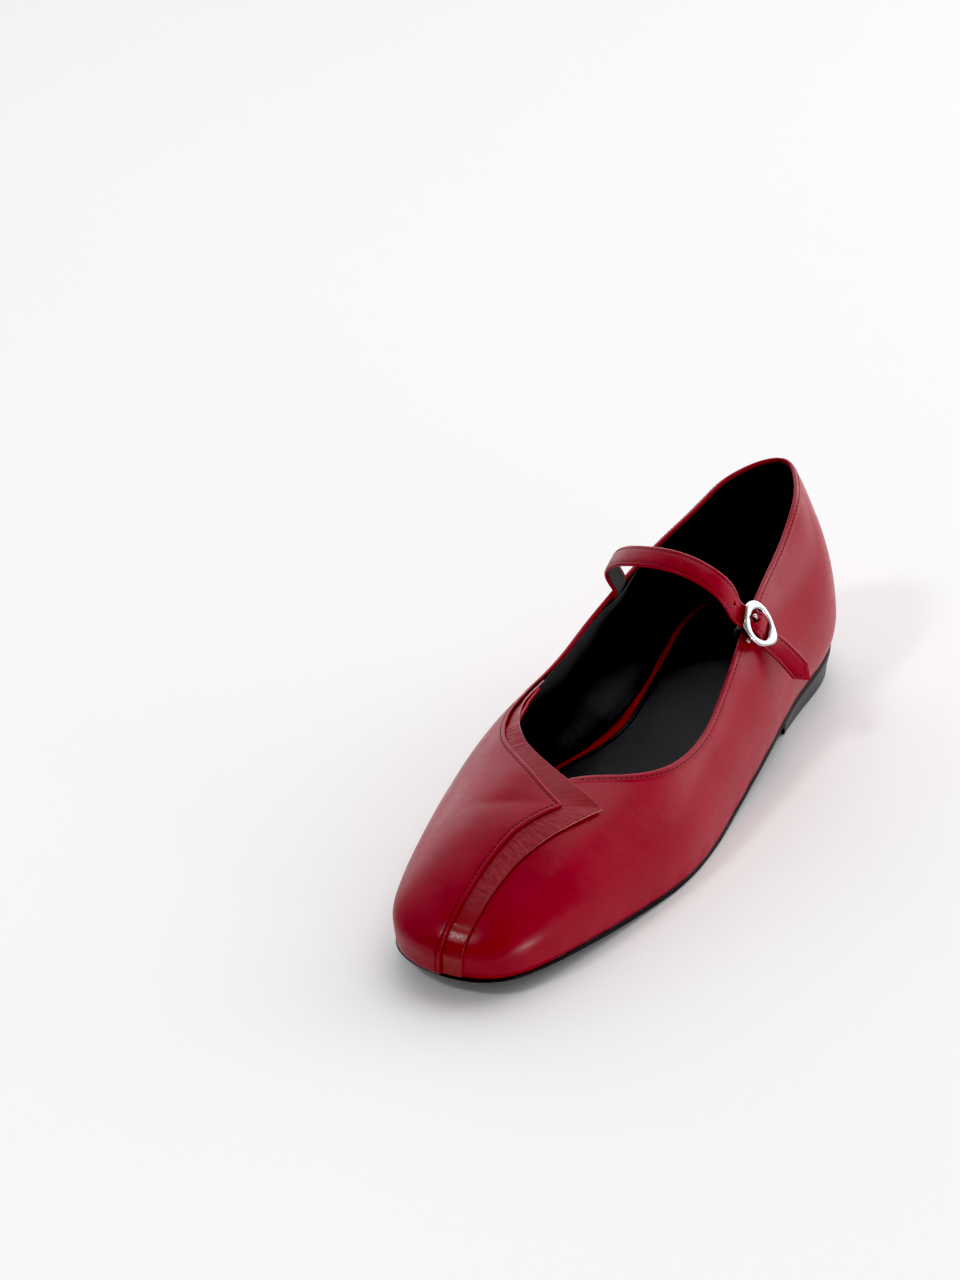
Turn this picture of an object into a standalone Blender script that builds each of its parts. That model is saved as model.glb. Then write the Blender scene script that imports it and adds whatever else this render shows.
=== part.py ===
"""Left ballet flat with an asymmetric vamp panel and a buckled instep strap.

Frame: toe at -Y, heel at +Y, outer side of the foot at +X, up +Z, floor at z = 0.
The upper is one function of (place round the outline, angle up the wall); every piece
that lies on it is made from the same function, so neighbours keep an even gap.
Tables are in the units their heading gives; everything else is in millimetres until
`sheet` writes metres.
"""

import bmesh
import bpy
import numpy as np

MM = 0.001

# Driving sizes, mm
LENGTH = 252.0          # toe tip to back of the heel
BALL_WIDTH = 85.0       # across the joints
SOLE_THICKNESS = 2.2
WALL = 1.8              # upper leather with its lining
GAP = 0.3               # air kept between pieces
INSOLE_THICKNESS = 3.0
SOLE_FLANGE = 0.5       # how far the sole edge stands past the upper
HEEL_INSET = 1.9        # how far the heel draws in towards the floor
BREAST_HOLLOW = 5.0     # depth of the curve in the front face of the heel
HEEL_TOP_ENDS = (3.52, 3.50)    # rows from the back where the heel ends, outer and inner
HEEL_LOW_ENDS = (3.38, 3.40)    # the same at the floor
BAND_THICKNESS = 1.0
BAND_GAP = 0.4          # over the upper, whose facets are flat between its corners
FLAP_LIFT = 1.0         # the loose tip of the band stands this much off the vamp
STRAP_WIDTH = 8.0
STRAP_THICKNESS = 1.5
ELASTIC_WIDTH = 7.0
ELASTIC_THICKNESS = 0.7
ELASTIC_ROW = 3.86      # where on the outer collar the elastic goes inside
RING_THICKNESS = 1.8
BAR_ENDS = (-7.1, 7.6)  # where the bar ends, aside of the middle of the ring
BAR_POSTS = (-6.2, 6.9) # where the posts join it to the ring
BAR_RADIUS = 0.75
BAR_DEPTH = 2.2         # the bar lies this far behind the middle of the ring
BAR_ALONG = -0.9        # and this far down from it

# Segment counts
ROUND, UP_LOW, UP_HIGH = 90, 4, 8
STRAP_SECTIONS = 60
SPARE_HOLE = 38         # the section of the strap that the spare hole is at

# The last, once round from the back of the heel over the outer side to the toe and back.
# across: share of BALL_WIDTH; along: share of LENGTH; tuck: how far the wall draws in
# below its widest line; girth: height of that line over the sole; full: roundness of the
# section (2 is an ellipse); top: angle up the wall, in degrees, where the opening starts;
# aim_x, aim_y: the point on the midline that the rib leans to.
LAST_COLUMNS = ("across", "along", "tuck", "girth", "full", "top", "aim_x", "aim_y")
LAST = {
    "heel_back":          (0.000, 0.500, 3.0, 16.0, 2.35, 42.5, 0.0, 96.0),
    "heel_corner_outer":  (0.194, 0.462, 3.2, 14.5, 2.20, 53.5, 2.0, 94.0),
    "heel_outer":         (0.365, 0.381, 2.8, 13.0, 2.10, 62.0, 2.0, 90.0),
    "heel_front_outer":   (0.391, 0.258, 2.0, 12.0, 2.00, 52.0, 1.0, 66.0),
    "waist_outer":        (0.424, 0.127, 0.9, 10.0, 2.00, 44.0, 0.0, 32.0),
    "middle_outer":       (0.459, -0.016, 0.3, 7.5, 2.05, 37.0, 0.0, 0.0),
    "joint_outer":        (0.482, -0.147, 0.1, 5.6, 2.20, 47.5, 0.0, -20.0),
    "fore_outer":         (0.421, -0.266, 0.1, 5.0, 2.30, 66.0, 0.0, -30.0),
    "toe_outer":          (0.332, -0.385, 0.1, 4.4, 2.35, 75.0, 0.0, -32.0),
    "toe_corner_outer":   (0.200, -0.473, 0.1, 4.3, 2.35, 77.5, 0.0, -32.0),
    "toe_tip":            (-0.024, -0.500, 0.1, 5.0, 2.30, 78.5, 0.0, -32.0),
    "toe_corner_inner":   (-0.271, -0.482, 0.3, 6.6, 2.30, 79.5, 0.0, -32.0),
    "toe_inner":          (-0.392, -0.411, 1.0, 9.2, 2.30, 78.0, 0.0, -32.0),
    "fore_inner":         (-0.474, -0.296, 2.2, 13.0, 2.30, 73.5, 0.0, -30.0),
    "joint_inner":        (-0.518, -0.171, 3.8, 16.6, 2.35, 60.0, 0.0, -22.0),
    "middle_inner":       (-0.459, -0.030, 7.4, 20.4, 2.40, 35.0, 0.0, -4.0),
    "waist_inner":        (-0.419, 0.115, 10.2, 22.5, 2.35, 33.0, 0.0, 30.0),
    "heel_front_inner":   (-0.408, 0.254, 7.7, 20.8, 2.25, 45.0, 0.0, 65.0),
    "heel_inner":         (-0.388, 0.381, 3.4, 18.0, 2.10, 58.5, -1.0, 90.0),
    "heel_corner_inner":  (-0.224, 0.464, 2.8, 16.2, 2.15, 50.5, -2.0, 94.0),
}

# Side view, along the shoe: the line the upper meets the sole on, and the crown of the last.
PROFILE_COLUMNS = ("y", "feather", "crown")
PROFILE = (
    (-126.0, 7.9, 30.0),
    (-100.0, 6.8, 35.0),
    (-75.0, 4.3, 39.8),
    (-48.0, 2.5, 43.0),
    (-18.0, 2.4, 51.0),
    (20.0, 6.7, 62.5),
    (60.0, 10.7, 70.3),
    (98.0, 12.8, 75.6),
    (126.0, 14.2, 98.5),
)

# The underlay band in plan, mm: its free edge and the panel edge beside it, from the inner
# collar past the throat to the flap tip, then down to the toe.
# lift: share of FLAP_LIFT at the free edge.
BAND_COLUMNS = ("free_x", "free_y", "panel_x", "panel_y", "lift")
BAND_TO_TIP = (
    (-32.6, -13.0, -33.6, -13.3, 0.0),
    (-32.2, -16.4, -33.2, -16.7, 0.0),
    (-31.2, -21.0, -32.4, -21.4, 0.0),
    (-29.7, -25.2, -31.7, -26.4, 0.0),
    (-27.8, -30.0, -30.7, -31.5, 0.0),
    (-24.3, -35.7, -28.6, -37.2, 0.0),
    (-21.0, -39.8, -25.6, -42.3, 0.0),
    (-15.3, -44.8, -20.6, -47.4, 0.0),
    (-9.8, -48.5, -15.4, -51.4, 0.0),
    (-4.2, -51.6, -9.8, -55.4, 0.0),
    (1.4, -54.3, -4.4, -59.0, 0.0),
    (7.8, -57.1, 1.4, -62.8, 0.2),
    (14.6, -59.6, 7.0, -66.0, 0.7),
    (21.3, -61.7, 10.9, -68.1, 1.0),
)
BAND_FROM_TIP = (
    (21.3, -61.7, 10.9, -68.1, 1.0),
    (19.4, -66.2, 9.5, -70.4, 0.9),
    (16.6, -72.6, 7.2, -73.6, 0.5),
    (13.3, -79.4, 4.6, -77.6, 0.2),
    (10.4, -86.0, 2.0, -82.6, 0.0),
    (7.9, -92.6, 0.2, -89.2, 0.0),
    (6.4, -98.8, -0.9, -96.0, 0.0),
    (5.4, -105.1, -1.6, -103.6, 0.0),
    (4.8, -111.4, -2.1, -111.2, 0.0),
    (4.5, -118.1, -2.3, -118.1, 0.0),
    (4.3, -123.0, -2.4, -123.4, 0.0),
)
# The last of the band, over the edge of the toe: row at each edge, and angle.
BAND_DOWN_COLUMNS = ("free_row", "panel_row", "angle")
BAND_DOWN = (
    (9.71, 10.04, 5.0),
    (9.72, 10.05, -8.0),
    (9.73, 10.06, -40.0),
    (9.75, 10.08, -82.0),
)

# Middle of the instep strap, from inside the inner collar up and over to the buckle.
STRAP_COLUMNS = ("x", "y", "z", "lean")
STRAP_ARCH = (
    (-25.0, 43.6, 44.5, 18.0),
    (-25.8, 43.2, 50.0, 18.0),
    (-26.4, 42.7, 55.4, 19.0),
    (-28.0, 41.7, 58.4, 20.0),
    (-28.8, 40.4, 61.4, 21.0),
    (-28.2, 38.6, 65.8, 22.0),
    (-22.8, 36.0, 71.6, 23.0),
    (-13.0, 33.6, 75.4, 23.0),
    (-2.0, 32.0, 77.3, 23.0),
    (8.0, 31.2, 76.7, 23.0),
    (16.5, 31.8, 72.8, 23.0),
    (21.8, 33.2, 66.2, 24.0),
)
# The rest of the strap, measured in the plane of the buckle: through the ring, over the
# bar, back under the ring, and out to the free tip.
STRAP_TAIL_COLUMNS = ("down", "out", "aside")
STRAP_TAIL = (
    (-9.0, -2.5, 0.5),
    (-6.8, -2.45, 0.6),
    (-5.0, -2.0, 0.6),
    (-3.1, -0.4, 0.6),
    (-0.9, 0.8, 0.6),
    (1.5, 0.2, 0.5),
    (3.8, -1.65, 0.3),
    (5.8, -2.3, 0.1),
    (9.0, -2.4, -0.2),
    (15.0, -2.1, -0.6),
    (21.0, -1.9, -0.8),
    (27.8, -2.0, -1.0),
)
END_PUSH = 0.25         # how far the ends of strips swell
# The free tip of the strap comes to a blunt point: side runs from its front edge (-1) to
# its rear edge (1), back is how far the end is cut back there, mm.
TIP_COLUMNS = ("side", "back")
TIP = (
    (-1.0, 4.6),
    (0.0, 0.0),
    (1.0, 5.6),
)
TIP_SHARES = (1.0, 0.72, 0.45, 0.2)     # how much of that each of the last sections takes

# Buckle: where it sits and how it faces.
BUCKLE_AT = np.array([30.5, 38.0, 53.5])
BUCKLE_OUT = np.array([0.86, -0.10, 0.50])
BUCKLE_DOWN = np.array([0.46, 0.40, -0.80])
# Pebble outline of the ring, in the buckle plane: angle from "down", outer and hole radius.
RING_COLUMNS = ("angle", "outer", "hole")
RING = (
    (0.0, 8.8, 5.0),
    (30.0, 7.5, 5.2),
    (60.0, 7.1, 5.6),
    (90.0, 7.7, 6.0),
    (120.0, 8.9, 6.8),
    (150.0, 9.5, 6.6),
    (180.0, 8.2, 5.6),
    (210.0, 7.5, 5.3),
    (240.0, 7.0, 4.9),
    (270.0, 6.6, 4.7),
    (300.0, 6.9, 4.9),
    (330.0, 7.6, 5.5),
)
# Prong, in the buckle plane: from the bar up through the strap to the rim.
PRONG_COLUMNS = ("down", "out", "aside", "radius")
PRONG = (
    (-1.90, -1.75, 0.6, 0.42),
    (-2.55, -1.30, 0.7, 0.48),
    (-2.95, -0.20, 0.8, 0.50),
    (-3.30, 1.10, 0.8, 0.52),
    (-4.10, 1.72, 0.8, 0.58),
    (-5.10, 1.74, 0.9, 0.70),
    (-5.60, 1.72, 0.9, 0.45),
)

# ---------------------------------------------------------------- curves through tables


def by_column(table, names):
    """The columns of a table under their names."""
    return dict(zip(names, np.array(table, float).T))


def ring_spline(rows):
    """A smooth closed curve through the rows; returns a function of turns (0 to 1)."""
    rows = np.asarray(rows, float)
    count = len(rows)
    matrix = 4.0 * np.eye(count) + np.roll(np.eye(count), 1, 0) + np.roll(np.eye(count), -1, 0)
    bend = np.linalg.solve(matrix, 6.0 * (np.roll(rows, -1, 0) - 2.0 * rows + np.roll(rows, 1, 0)))

    def value(turn):
        place = (np.asarray(turn, float) % 1.0) * count
        low = np.floor(place).astype(int) % count
        high = (low + 1) % count
        s = (place - np.floor(place))[..., None]
        r = 1.0 - s
        curve = (r**3 - r) * bend[low] + (s**3 - s) * bend[high]
        return r * rows[low] + s * rows[high] + curve / 6.0

    return value


def line_spline(stations, rows):
    """A smooth open curve through rows at the given stations, straight past both ends."""
    x = np.asarray(stations, float)
    rows = np.asarray(rows, float)
    if rows.ndim == 1:
        rows = rows[:, None]
    step = np.diff(x)
    count = len(x)
    matrix = np.eye(count)
    right = np.zeros_like(rows)
    for i in range(1, count - 1):
        matrix[i, i - 1 : i + 2] = step[i - 1], 2.0 * (step[i - 1] + step[i]), step[i]
        right[i] = 6.0 * ((rows[i + 1] - rows[i]) / step[i] - (rows[i] - rows[i - 1]) / step[i - 1])
    bend = np.linalg.solve(matrix, right)

    def value(place):
        place = np.asarray(place, float)
        held = np.clip(place, x[0], x[-1])
        i = np.clip(np.searchsorted(x, held) - 1, 0, count - 2)
        h = step[i][..., None]
        b = (held - x[i])[..., None] / h
        a = 1.0 - b
        curve = (a**3 - a) * bend[i] + (b**3 - b) * bend[i + 1]
        inside = a * rows[i] + b * rows[i + 1] + curve * h * h / 6.0
        turn = (3 * b * b - 1) * bend[i + 1] - (3 * a * a - 1) * bend[i]
        slope = (rows[i + 1] - rows[i]) / h + turn * h / 6.0
        return inside + slope * (place - held)[..., None]

    return value


def chord_lengths(points):
    """Share of the whole length at each point."""
    steps = np.linalg.norm(np.diff(points, axis=0), axis=1)
    return np.concatenate([[0.0], np.cumsum(steps)]) / steps.sum()


last_at = ring_spline(list(LAST.values()))
ROWS = len(LAST)
profile = by_column(PROFILE, PROFILE_COLUMNS)
feather_at = line_spline(profile["y"], profile["feather"])
crown_at = line_spline(profile["y"], profile["crown"])


def feather(y):
    return feather_at(y)[..., 0]


def crown(y):
    return crown_at(y)[..., 0]


# ---------------------------------------------------------------- the last


def rib(row):
    """The values of the last's table at a row, which may lie between two of its rows."""
    return dict(zip(LAST_COLUMNS, np.moveaxis(last_at(np.asarray(row, float) / ROWS), -1, 0)))


def last_point(row, angle):
    """A point of the outside of the upper. angle: -90 at the sole, 0 at the widest line."""
    row, angle = np.broadcast_arrays(np.asarray(row, float), np.asarray(angle, float))
    here = rib(row)
    x, y = here["across"] * BALL_WIDTH, here["along"] * LENGTH
    high = angle >= 0.0
    turn = np.radians(np.clip(angle, 0.0, 90.0))
    reach = np.where(high, np.cos(turn) ** (2.0 / here["full"]), 1.0)
    rise = np.where(high, np.sin(turn) ** (2.0 / here["full"]), 0.0)
    under = np.where(high, 0.0, -angle / 90.0)
    reach = reach - here["tuck"] * under**2.2 / np.hypot(x - here["aim_x"], y - here["aim_y"])
    px = here["aim_x"] + (x - here["aim_x"]) * reach
    py = here["aim_y"] + (y - here["aim_y"]) * reach
    widest = feather(y) + here["girth"]
    pz = np.where(high, widest + (crown(py) - widest) * rise, widest - here["girth"] * under)
    return np.stack([px, py, pz], -1)


def last_normal(row, angle):
    """Outward direction at a point of the upper."""
    along = last_point(row + 2e-3, angle) - last_point(row - 2e-3, angle)
    up = last_point(row, angle + 0.05) - last_point(row, angle - 0.05)
    normal = np.cross(up, along)
    return normal / np.linalg.norm(normal, axis=-1, keepdims=True)


def opening_angle(row):
    return rib(row)["top"]


def on_last(plan):
    """Row and angle of the points of the upper that lie over or under points in plan."""
    plan = np.asarray(plan, float)
    rows, angles = np.meshgrid(np.arange(0.0, ROWS, 0.25), np.arange(4.0, 86.0, 4.0), indexing="ij")
    coarse = last_point(rows, angles)[..., :2].reshape(-1, 2)
    near = np.argmin(np.sum((plan[..., None, :] - coarse) ** 2, axis=-1), axis=-1)
    row, angle = rows.ravel()[near], angles.ravel()[near]
    for _ in range(12):
        miss = plan - last_point(row, angle)[..., :2]
        by_row = (last_point(row + 1e-4, angle) - last_point(row - 1e-4, angle))[..., :2] / 2e-4
        by_angle = (last_point(row, angle + 1e-3) - last_point(row, angle - 1e-3))[..., :2] / 2e-3
        area = by_row[..., 0] * by_angle[..., 1] - by_row[..., 1] * by_angle[..., 0]
        row = row + (miss[..., 0] * by_angle[..., 1] - miss[..., 1] * by_angle[..., 0]) / area
        angle = angle + (by_row[..., 0] * miss[..., 1] - by_row[..., 1] * miss[..., 0]) / area
        angle = np.clip(angle, 0.5, 88.0)
    return row, angle


def rim(row, outwards):
    """Plan place on the sole line, moved outwards in the floor plane."""
    row = np.asarray(row, float)
    here = last_point(row, -90.0)
    way = last_point(row + 0.01, -90.0) - last_point(row - 0.01, -90.0)
    # The rows run clockwise seen from above, so the left of the way is outside.
    side = np.stack([-way[..., 1], way[..., 0]], -1)
    side /= np.linalg.norm(side, axis=-1, keepdims=True)
    return here[..., :2] + side * outwards


# ---------------------------------------------------------------- meshes


def empty_scene():
    for obj in list(bpy.data.objects):
        bpy.data.objects.remove(obj, do_unlink=True)
    for mesh in list(bpy.data.meshes):
        bpy.data.meshes.remove(mesh)


def collection(name):
    made = bpy.data.collections.new(name)
    bpy.context.scene.collection.children.link(made)
    return made


def material(name, colour, roughness, metallic=0.0):
    made = bpy.data.materials.new(name)
    made.use_nodes = True
    shader = made.node_tree.nodes["Principled BSDF"]
    shader.inputs["Base Color"].default_value = (*colour, 1.0)
    shader.inputs["Roughness"].default_value = roughness
    shader.inputs["Metallic"].default_value = metallic
    return made


def sheet(name, points, home, look=None):
    """A grid of points (rows, columns, xyz in mm) as a mesh, its meeting edges welded."""
    rows, columns = points.shape[0] - 1, points.shape[1] - 1
    bm = bmesh.new()
    bmesh.ops.create_grid(bm, x_segments=rows, y_segments=columns, size=0.5)
    for vertex in bm.verts:
        i = round((vertex.co.x + 0.5) * rows)
        j = round((vertex.co.y + 0.5) * columns)
        vertex.co = points[i, j] * MM
    bmesh.ops.remove_doubles(bm, verts=bm.verts, dist=2e-6)
    bmesh.ops.recalc_face_normals(bm, faces=bm.faces)
    mesh = bpy.data.meshes.new(name)
    bm.to_mesh(mesh)
    bm.free()
    mesh.shade_smooth()
    obj = bpy.data.objects.new(name, mesh)
    home.objects.link(obj)
    if look is not None:
        mesh.materials.append(look)
    return obj


def solidify(obj, thickness, offset):
    made = obj.modifiers.new("wall", "SOLIDIFY")
    made.thickness = thickness * MM
    made.offset = offset
    made.use_even_offset = True
    return made


def boolean(obj, operation, other):
    made = obj.modifiers.new(operation.lower(), "BOOLEAN")
    made.operation = operation
    made.object = other
    made.solver = "EXACT"
    return made


def closed(points):
    """Repeats the first column so that a section closes on itself."""
    return np.concatenate([points, points[:, :1]], axis=1)


def zipped(row, push=None):
    """The section pressed flat against itself, which closes an end, and pushed on a little."""
    flat = (row + row[::-1]) / 2.0
    return flat if push is None else flat + push / np.linalg.norm(push) * END_PUSH


def capped(sections, middle):
    """Sections of a strip with both its ends closed."""
    first = zipped(sections[0], middle[0] - middle[1])
    last = zipped(sections[-1], middle[-1] - middle[-2])
    return np.concatenate([first[None], sections, last[None]])


def chords(pair, out, hollow):
    """Lines in plan from the outer side of the outline to the inner, one for each place.

    pair: matching places on the two sides, heel back first. out: how far the ends stand
    outside the sole line. hollow: how far the last line bends back in its middle.
    """
    across = np.linspace(0.0, 1.0, 5)
    start, end = rim(pair[0], out)[:, None], rim(pair[1], out)[:, None]
    lines = start + (end - start) * across[:, None]
    bend = hollow * np.linspace(0.0, 1.0, len(lines)) ** 3
    lines[..., 1] += bend[:, None] * (1.0 - (2.0 * across - 1.0) ** 2)
    return lines


def slab(top_rows, low_rows, top_out, low_out, top_z, low_z, chamfer, hollow=0.0):
    """Sections of a plate with bevelled edges; top_z and low_z give its faces' heights."""

    def face(rows, out, height, step, hollow):
        plan = chords(rows, out, hollow)
        return np.concatenate([plan, (height(plan[..., 1]) + step)[..., None]], axis=-1)

    top = face(top_rows, top_out - chamfer, top_z, 0.0, hollow)
    low = face(low_rows, low_out - chamfer, low_z, 0.0, hollow)
    edge_top = face(top_rows, top_out, top_z, -chamfer, hollow)
    edge_low = face(low_rows, low_out, low_z, chamfer, hollow)
    return np.concatenate(
        [edge_top[:, :1], top, edge_top[:, -1:], edge_low[:, -1:], low[:, ::-1], edge_low[:, :1]], axis=1
    )


def ribbon(middle, side, face, width, thickness, round_edge=0.35):
    """Sections of a strip: middle line, direction across it and direction out of it."""
    half, thick = width / 2.0, thickness / 2.0
    edge = round_edge * thickness
    upper_half = (
        (-half, thick - edge),
        (-half + edge, thick),
        (0.0, thick),
        (half - edge, thick),
        (half, thick - edge),
    )
    shape = upper_half + tuple((a, -b) for a, b in reversed(upper_half))
    return np.stack([middle + side * a + face * b for a, b in shape], axis=1)


def frames(middle, wish):
    """Directions along, across and out of a line, keeping close to the wished across."""
    along = np.gradient(middle, axis=0)
    along /= np.linalg.norm(along, axis=1, keepdims=True)
    side = wish - along * np.sum(wish * along, axis=1, keepdims=True)
    side /= np.linalg.norm(side, axis=1, keepdims=True)
    return along, side, np.cross(along, side)


# ---------------------------------------------------------------- the pieces


def sole_top(y):
    return feather(y) - GAP


def sole_bottom(y):
    return np.maximum(feather(y) - GAP - SOLE_THICKNESS, 0.0)


def make_upper(home, look):
    rows = np.linspace(0.0, ROWS, ROUND + 1)
    low = -90.0 + 90.0 * np.linspace(0.0, 1.0, UP_LOW)[:-1]
    share = np.linspace(0.0, 1.0, UP_HIGH + 1)
    angles = np.concatenate(
        [np.broadcast_to(low, (len(rows), len(low))), opening_angle(rows)[:, None] * share], axis=1
    )
    upper = sheet("upper", last_point(rows[:, None], angles), home, look)
    face = max(upper.data.polygons, key=lambda f: f.center.x)
    if face.normal.x < 0.0:
        upper.data.flip_normals()
    solidify(upper, WALL, -1.0)
    return upper


def both_sides(steps, outer_end, inner_end):
    """Matching places on the two sides of the outline, from the back of the heel on."""
    return outer_end * steps, ROWS - inner_end * steps


def make_sole(home, look):
    rows = both_sides(np.linspace(0.0, 1.0, ROUND // 2 + 1), ROWS / 2.0, ROWS / 2.0)
    sections = slab(rows, rows, SOLE_FLANGE, SOLE_FLANGE, sole_top, sole_bottom, 0.45)
    return sheet("outsole", closed(sections), home, look)


def make_insole(home, look):
    rows = both_sides(np.linspace(0.0, 1.0, ROUND // 2 + 1), ROWS / 2.0, ROWS / 2.0)
    inside = -(WALL + GAP + 0.1)
    sections = slab(rows, rows, inside, inside, lambda y: feather(y) + INSOLE_THICKNESS, feather, 0.4)
    return sheet("insole", closed(sections), home, look)


def make_heel(home, look):
    steps = np.linspace(0.0, 1.0, 17) ** 0.9
    top_rows, low_rows = both_sides(steps, *HEEL_TOP_ENDS), both_sides(steps, *HEEL_LOW_ENDS)
    sections = slab(
        top_rows, low_rows, SOLE_FLANGE - 0.2, -HEEL_INSET,
        lambda y: sole_bottom(y) - GAP, lambda y: 0.0 * y, 0.5, BREAST_HOLLOW,
    )
    sections = np.concatenate([sections, zipped(sections[-1])[None]])
    return sheet("heel_block", closed(sections), home, look)


def band_places(table, count, across):
    """Row, angle and lift over a stretch of the band, from its free edge across to the panel."""
    named = by_column(table, BAND_COLUMNS)
    free = np.stack([named["free_x"], named["free_y"]], axis=1)
    panel = np.stack([named["panel_x"], named["panel_y"]], axis=1)
    place, shares = chord_lengths((free + panel) / 2.0), np.linspace(0.0, 1.0, count)
    free, panel, lift = (line_spline(place, each)(shares)[:, None] for each in (free, panel, named["lift"]))
    row, angle = on_last(free + (panel - free) * across[:, None])
    return np.stack([row, angle, lift[..., 0] + 0.0 * row], axis=-1)


def band_down(across):
    """The same for the stretch over the edge of the toe."""
    named = by_column(BAND_DOWN, BAND_DOWN_COLUMNS)
    free, panel = named["free_row"][:, None], named["panel_row"][:, None]
    row = free + (panel - free) * across
    return np.stack([row, named["angle"][:, None] + 0.0 * row, 0.0 * row], axis=-1)


def make_band(home, look):
    across = np.linspace(0.0, 1.0, 5)
    places = np.concatenate(
        [band_places(BAND_TO_TIP, 24, across), band_places(BAND_FROM_TIP, 22, across)[1:], band_down(across)]
    )
    row, angle, lift = np.moveaxis(places, -1, 0)
    base, out = last_point(row, angle), last_normal(row, angle)
    raised = (BAND_GAP + FLAP_LIFT * np.maximum(lift, 0.0) * (1.0 - across) ** 2)[..., None]
    low, top = base + out * raised, base + out * (raised + BAND_THICKNESS)
    sections = np.concatenate([top, low[:, ::-1]], axis=1)
    sections = np.concatenate([zipped(sections[0])[None], sections, zipped(sections[-1])[None]])
    return sheet("vamp_band", closed(sections), home, look)


def buckle_axes():
    out = BUCKLE_OUT / np.linalg.norm(BUCKLE_OUT)
    down = BUCKLE_DOWN - out * (BUCKLE_DOWN @ out)
    down /= np.linalg.norm(down)
    return down, np.cross(out, down), out


DOWN, ASIDE, OUT = buckle_axes()


def at_buckle(down, aside, out):
    down, aside, out = (np.asarray(v, float)[..., None] for v in (down, aside, out))
    return BUCKLE_AT + DOWN * down + ASIDE * aside + OUT * out


def strap_line(count):
    """Middle line of the strap with its across and outward directions."""
    arch = by_column(STRAP_ARCH, STRAP_COLUMNS)
    tail = by_column(STRAP_TAIL, STRAP_TAIL_COLUMNS)
    over = np.stack([arch["x"], arch["y"], arch["z"]], axis=1)
    points = np.concatenate([over, at_buckle(tail["down"], tail["aside"], tail["out"])])
    lean = np.radians(arch["lean"])
    wish = np.stack([0.0 * lean, np.cos(lean), np.sin(lean)], axis=1)
    wish = np.concatenate([wish, np.broadcast_to(ASIDE, (len(tail["down"]), 3))])
    place = chord_lengths(points)
    shares = np.linspace(0.0, 1.0, count)
    middle = line_spline(place, points)(shares)
    _, side, face = frames(middle, line_spline(place, wish)(shares))
    return middle, side, -face


def make_strap(home, tools, look):
    middle, side, face = strap_line(STRAP_SECTIONS)
    sections = ribbon(middle, side, face, STRAP_WIDTH, STRAP_THICKNESS)
    along = middle[-1] - middle[-2]
    along /= np.linalg.norm(along)
    tip = by_column(TIP, TIP_COLUMNS)
    for k, share in enumerate(TIP_SHARES):
        here = len(sections) - 1 - k
        across = (sections[here] - middle[here]) @ side[here] / (STRAP_WIDTH / 2.0)
        sections[here] -= along * (share * np.interp(across, tip["side"], tip["back"]))[:, None]
    sections = capped(sections, middle)
    strap = sheet("strap", closed(sections), home, look)
    holes = (
        ("prong_hole", at_buckle(-2.95, 0.8, 0.0), OUT, 1.15),
        ("spare_hole", middle[SPARE_HOLE], face[SPARE_HOLE], 0.85),
    )
    for name, centre, axis, radius in holes:
        cutter = cylinder(name, centre - axis * 4.0, centre + axis * 4.0, radius, tools, sides=14)
        cutter.hide_render = True
        boolean(strap, "DIFFERENCE", cutter)
    return strap


def cylinder(name, start, end, radius, home, look=None, sides=16):
    """A straight rod between two points, its ends closed."""
    axis = (end - start) / np.linalg.norm(end - start)
    flat = np.cross(axis, [0.0, 0.0, 1.0])
    flat /= np.linalg.norm(flat)
    other = np.cross(axis, flat)
    turn = np.linspace(0.0, 2.0 * np.pi, sides + 1)
    ring = flat * np.cos(turn)[:, None] * radius + other * np.sin(turn)[:, None] * radius
    points = np.array([start + 0.0 * ring, start + ring, end + ring, end + 0.0 * ring])
    points[:, -1] = points[:, 0]
    return sheet(name, points, home, look)


def make_buckle(home, tools, look):
    ring = by_column(RING, RING_COLUMNS)
    turns = np.linspace(0.0, 1.0, 43)
    outer, hole = ring_spline(np.stack([ring["outer"], ring["hole"]], axis=1))(turns).T
    angle = 2.0 * np.pi * turns
    middle, half = (outer + hole) / 2.0, (outer - hole) / 2.0
    around = np.linspace(0.0, 2.0 * np.pi, 9)
    # A flattened round section: full width, softened on both faces.
    wide = np.sign(np.cos(around)) * np.abs(np.cos(around)) ** 0.7
    tall = np.sign(np.sin(around)) * np.abs(np.sin(around)) ** 0.8 * RING_THICKNESS / 2.0
    radius = middle[:, None] + half[:, None] * wide
    down, aside = radius * np.cos(angle)[:, None], radius * np.sin(angle)[:, None]
    points = at_buckle(down, aside, np.broadcast_to(tall, down.shape))
    points[-1], points[:, -1] = points[0], points[:, 0]
    frame = sheet("buckle_frame", points, home, look)
    first, last = (at_buckle(BAR_ALONG, end, -BAR_DEPTH) for end in BAR_ENDS)
    joins = [cylinder("bar", first, last, BAR_RADIUS, tools)]
    for k, post in enumerate(BAR_POSTS):
        foot, head = (at_buckle(BAR_ALONG, post, out) for out in (-BAR_DEPTH - 0.2, 0.1))
        joins.append(cylinder(f"post_{k}", foot, head, 0.65, tools))
    for other in joins:
        other.hide_render = True
        boolean(frame, "UNION", other)
    return frame


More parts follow.
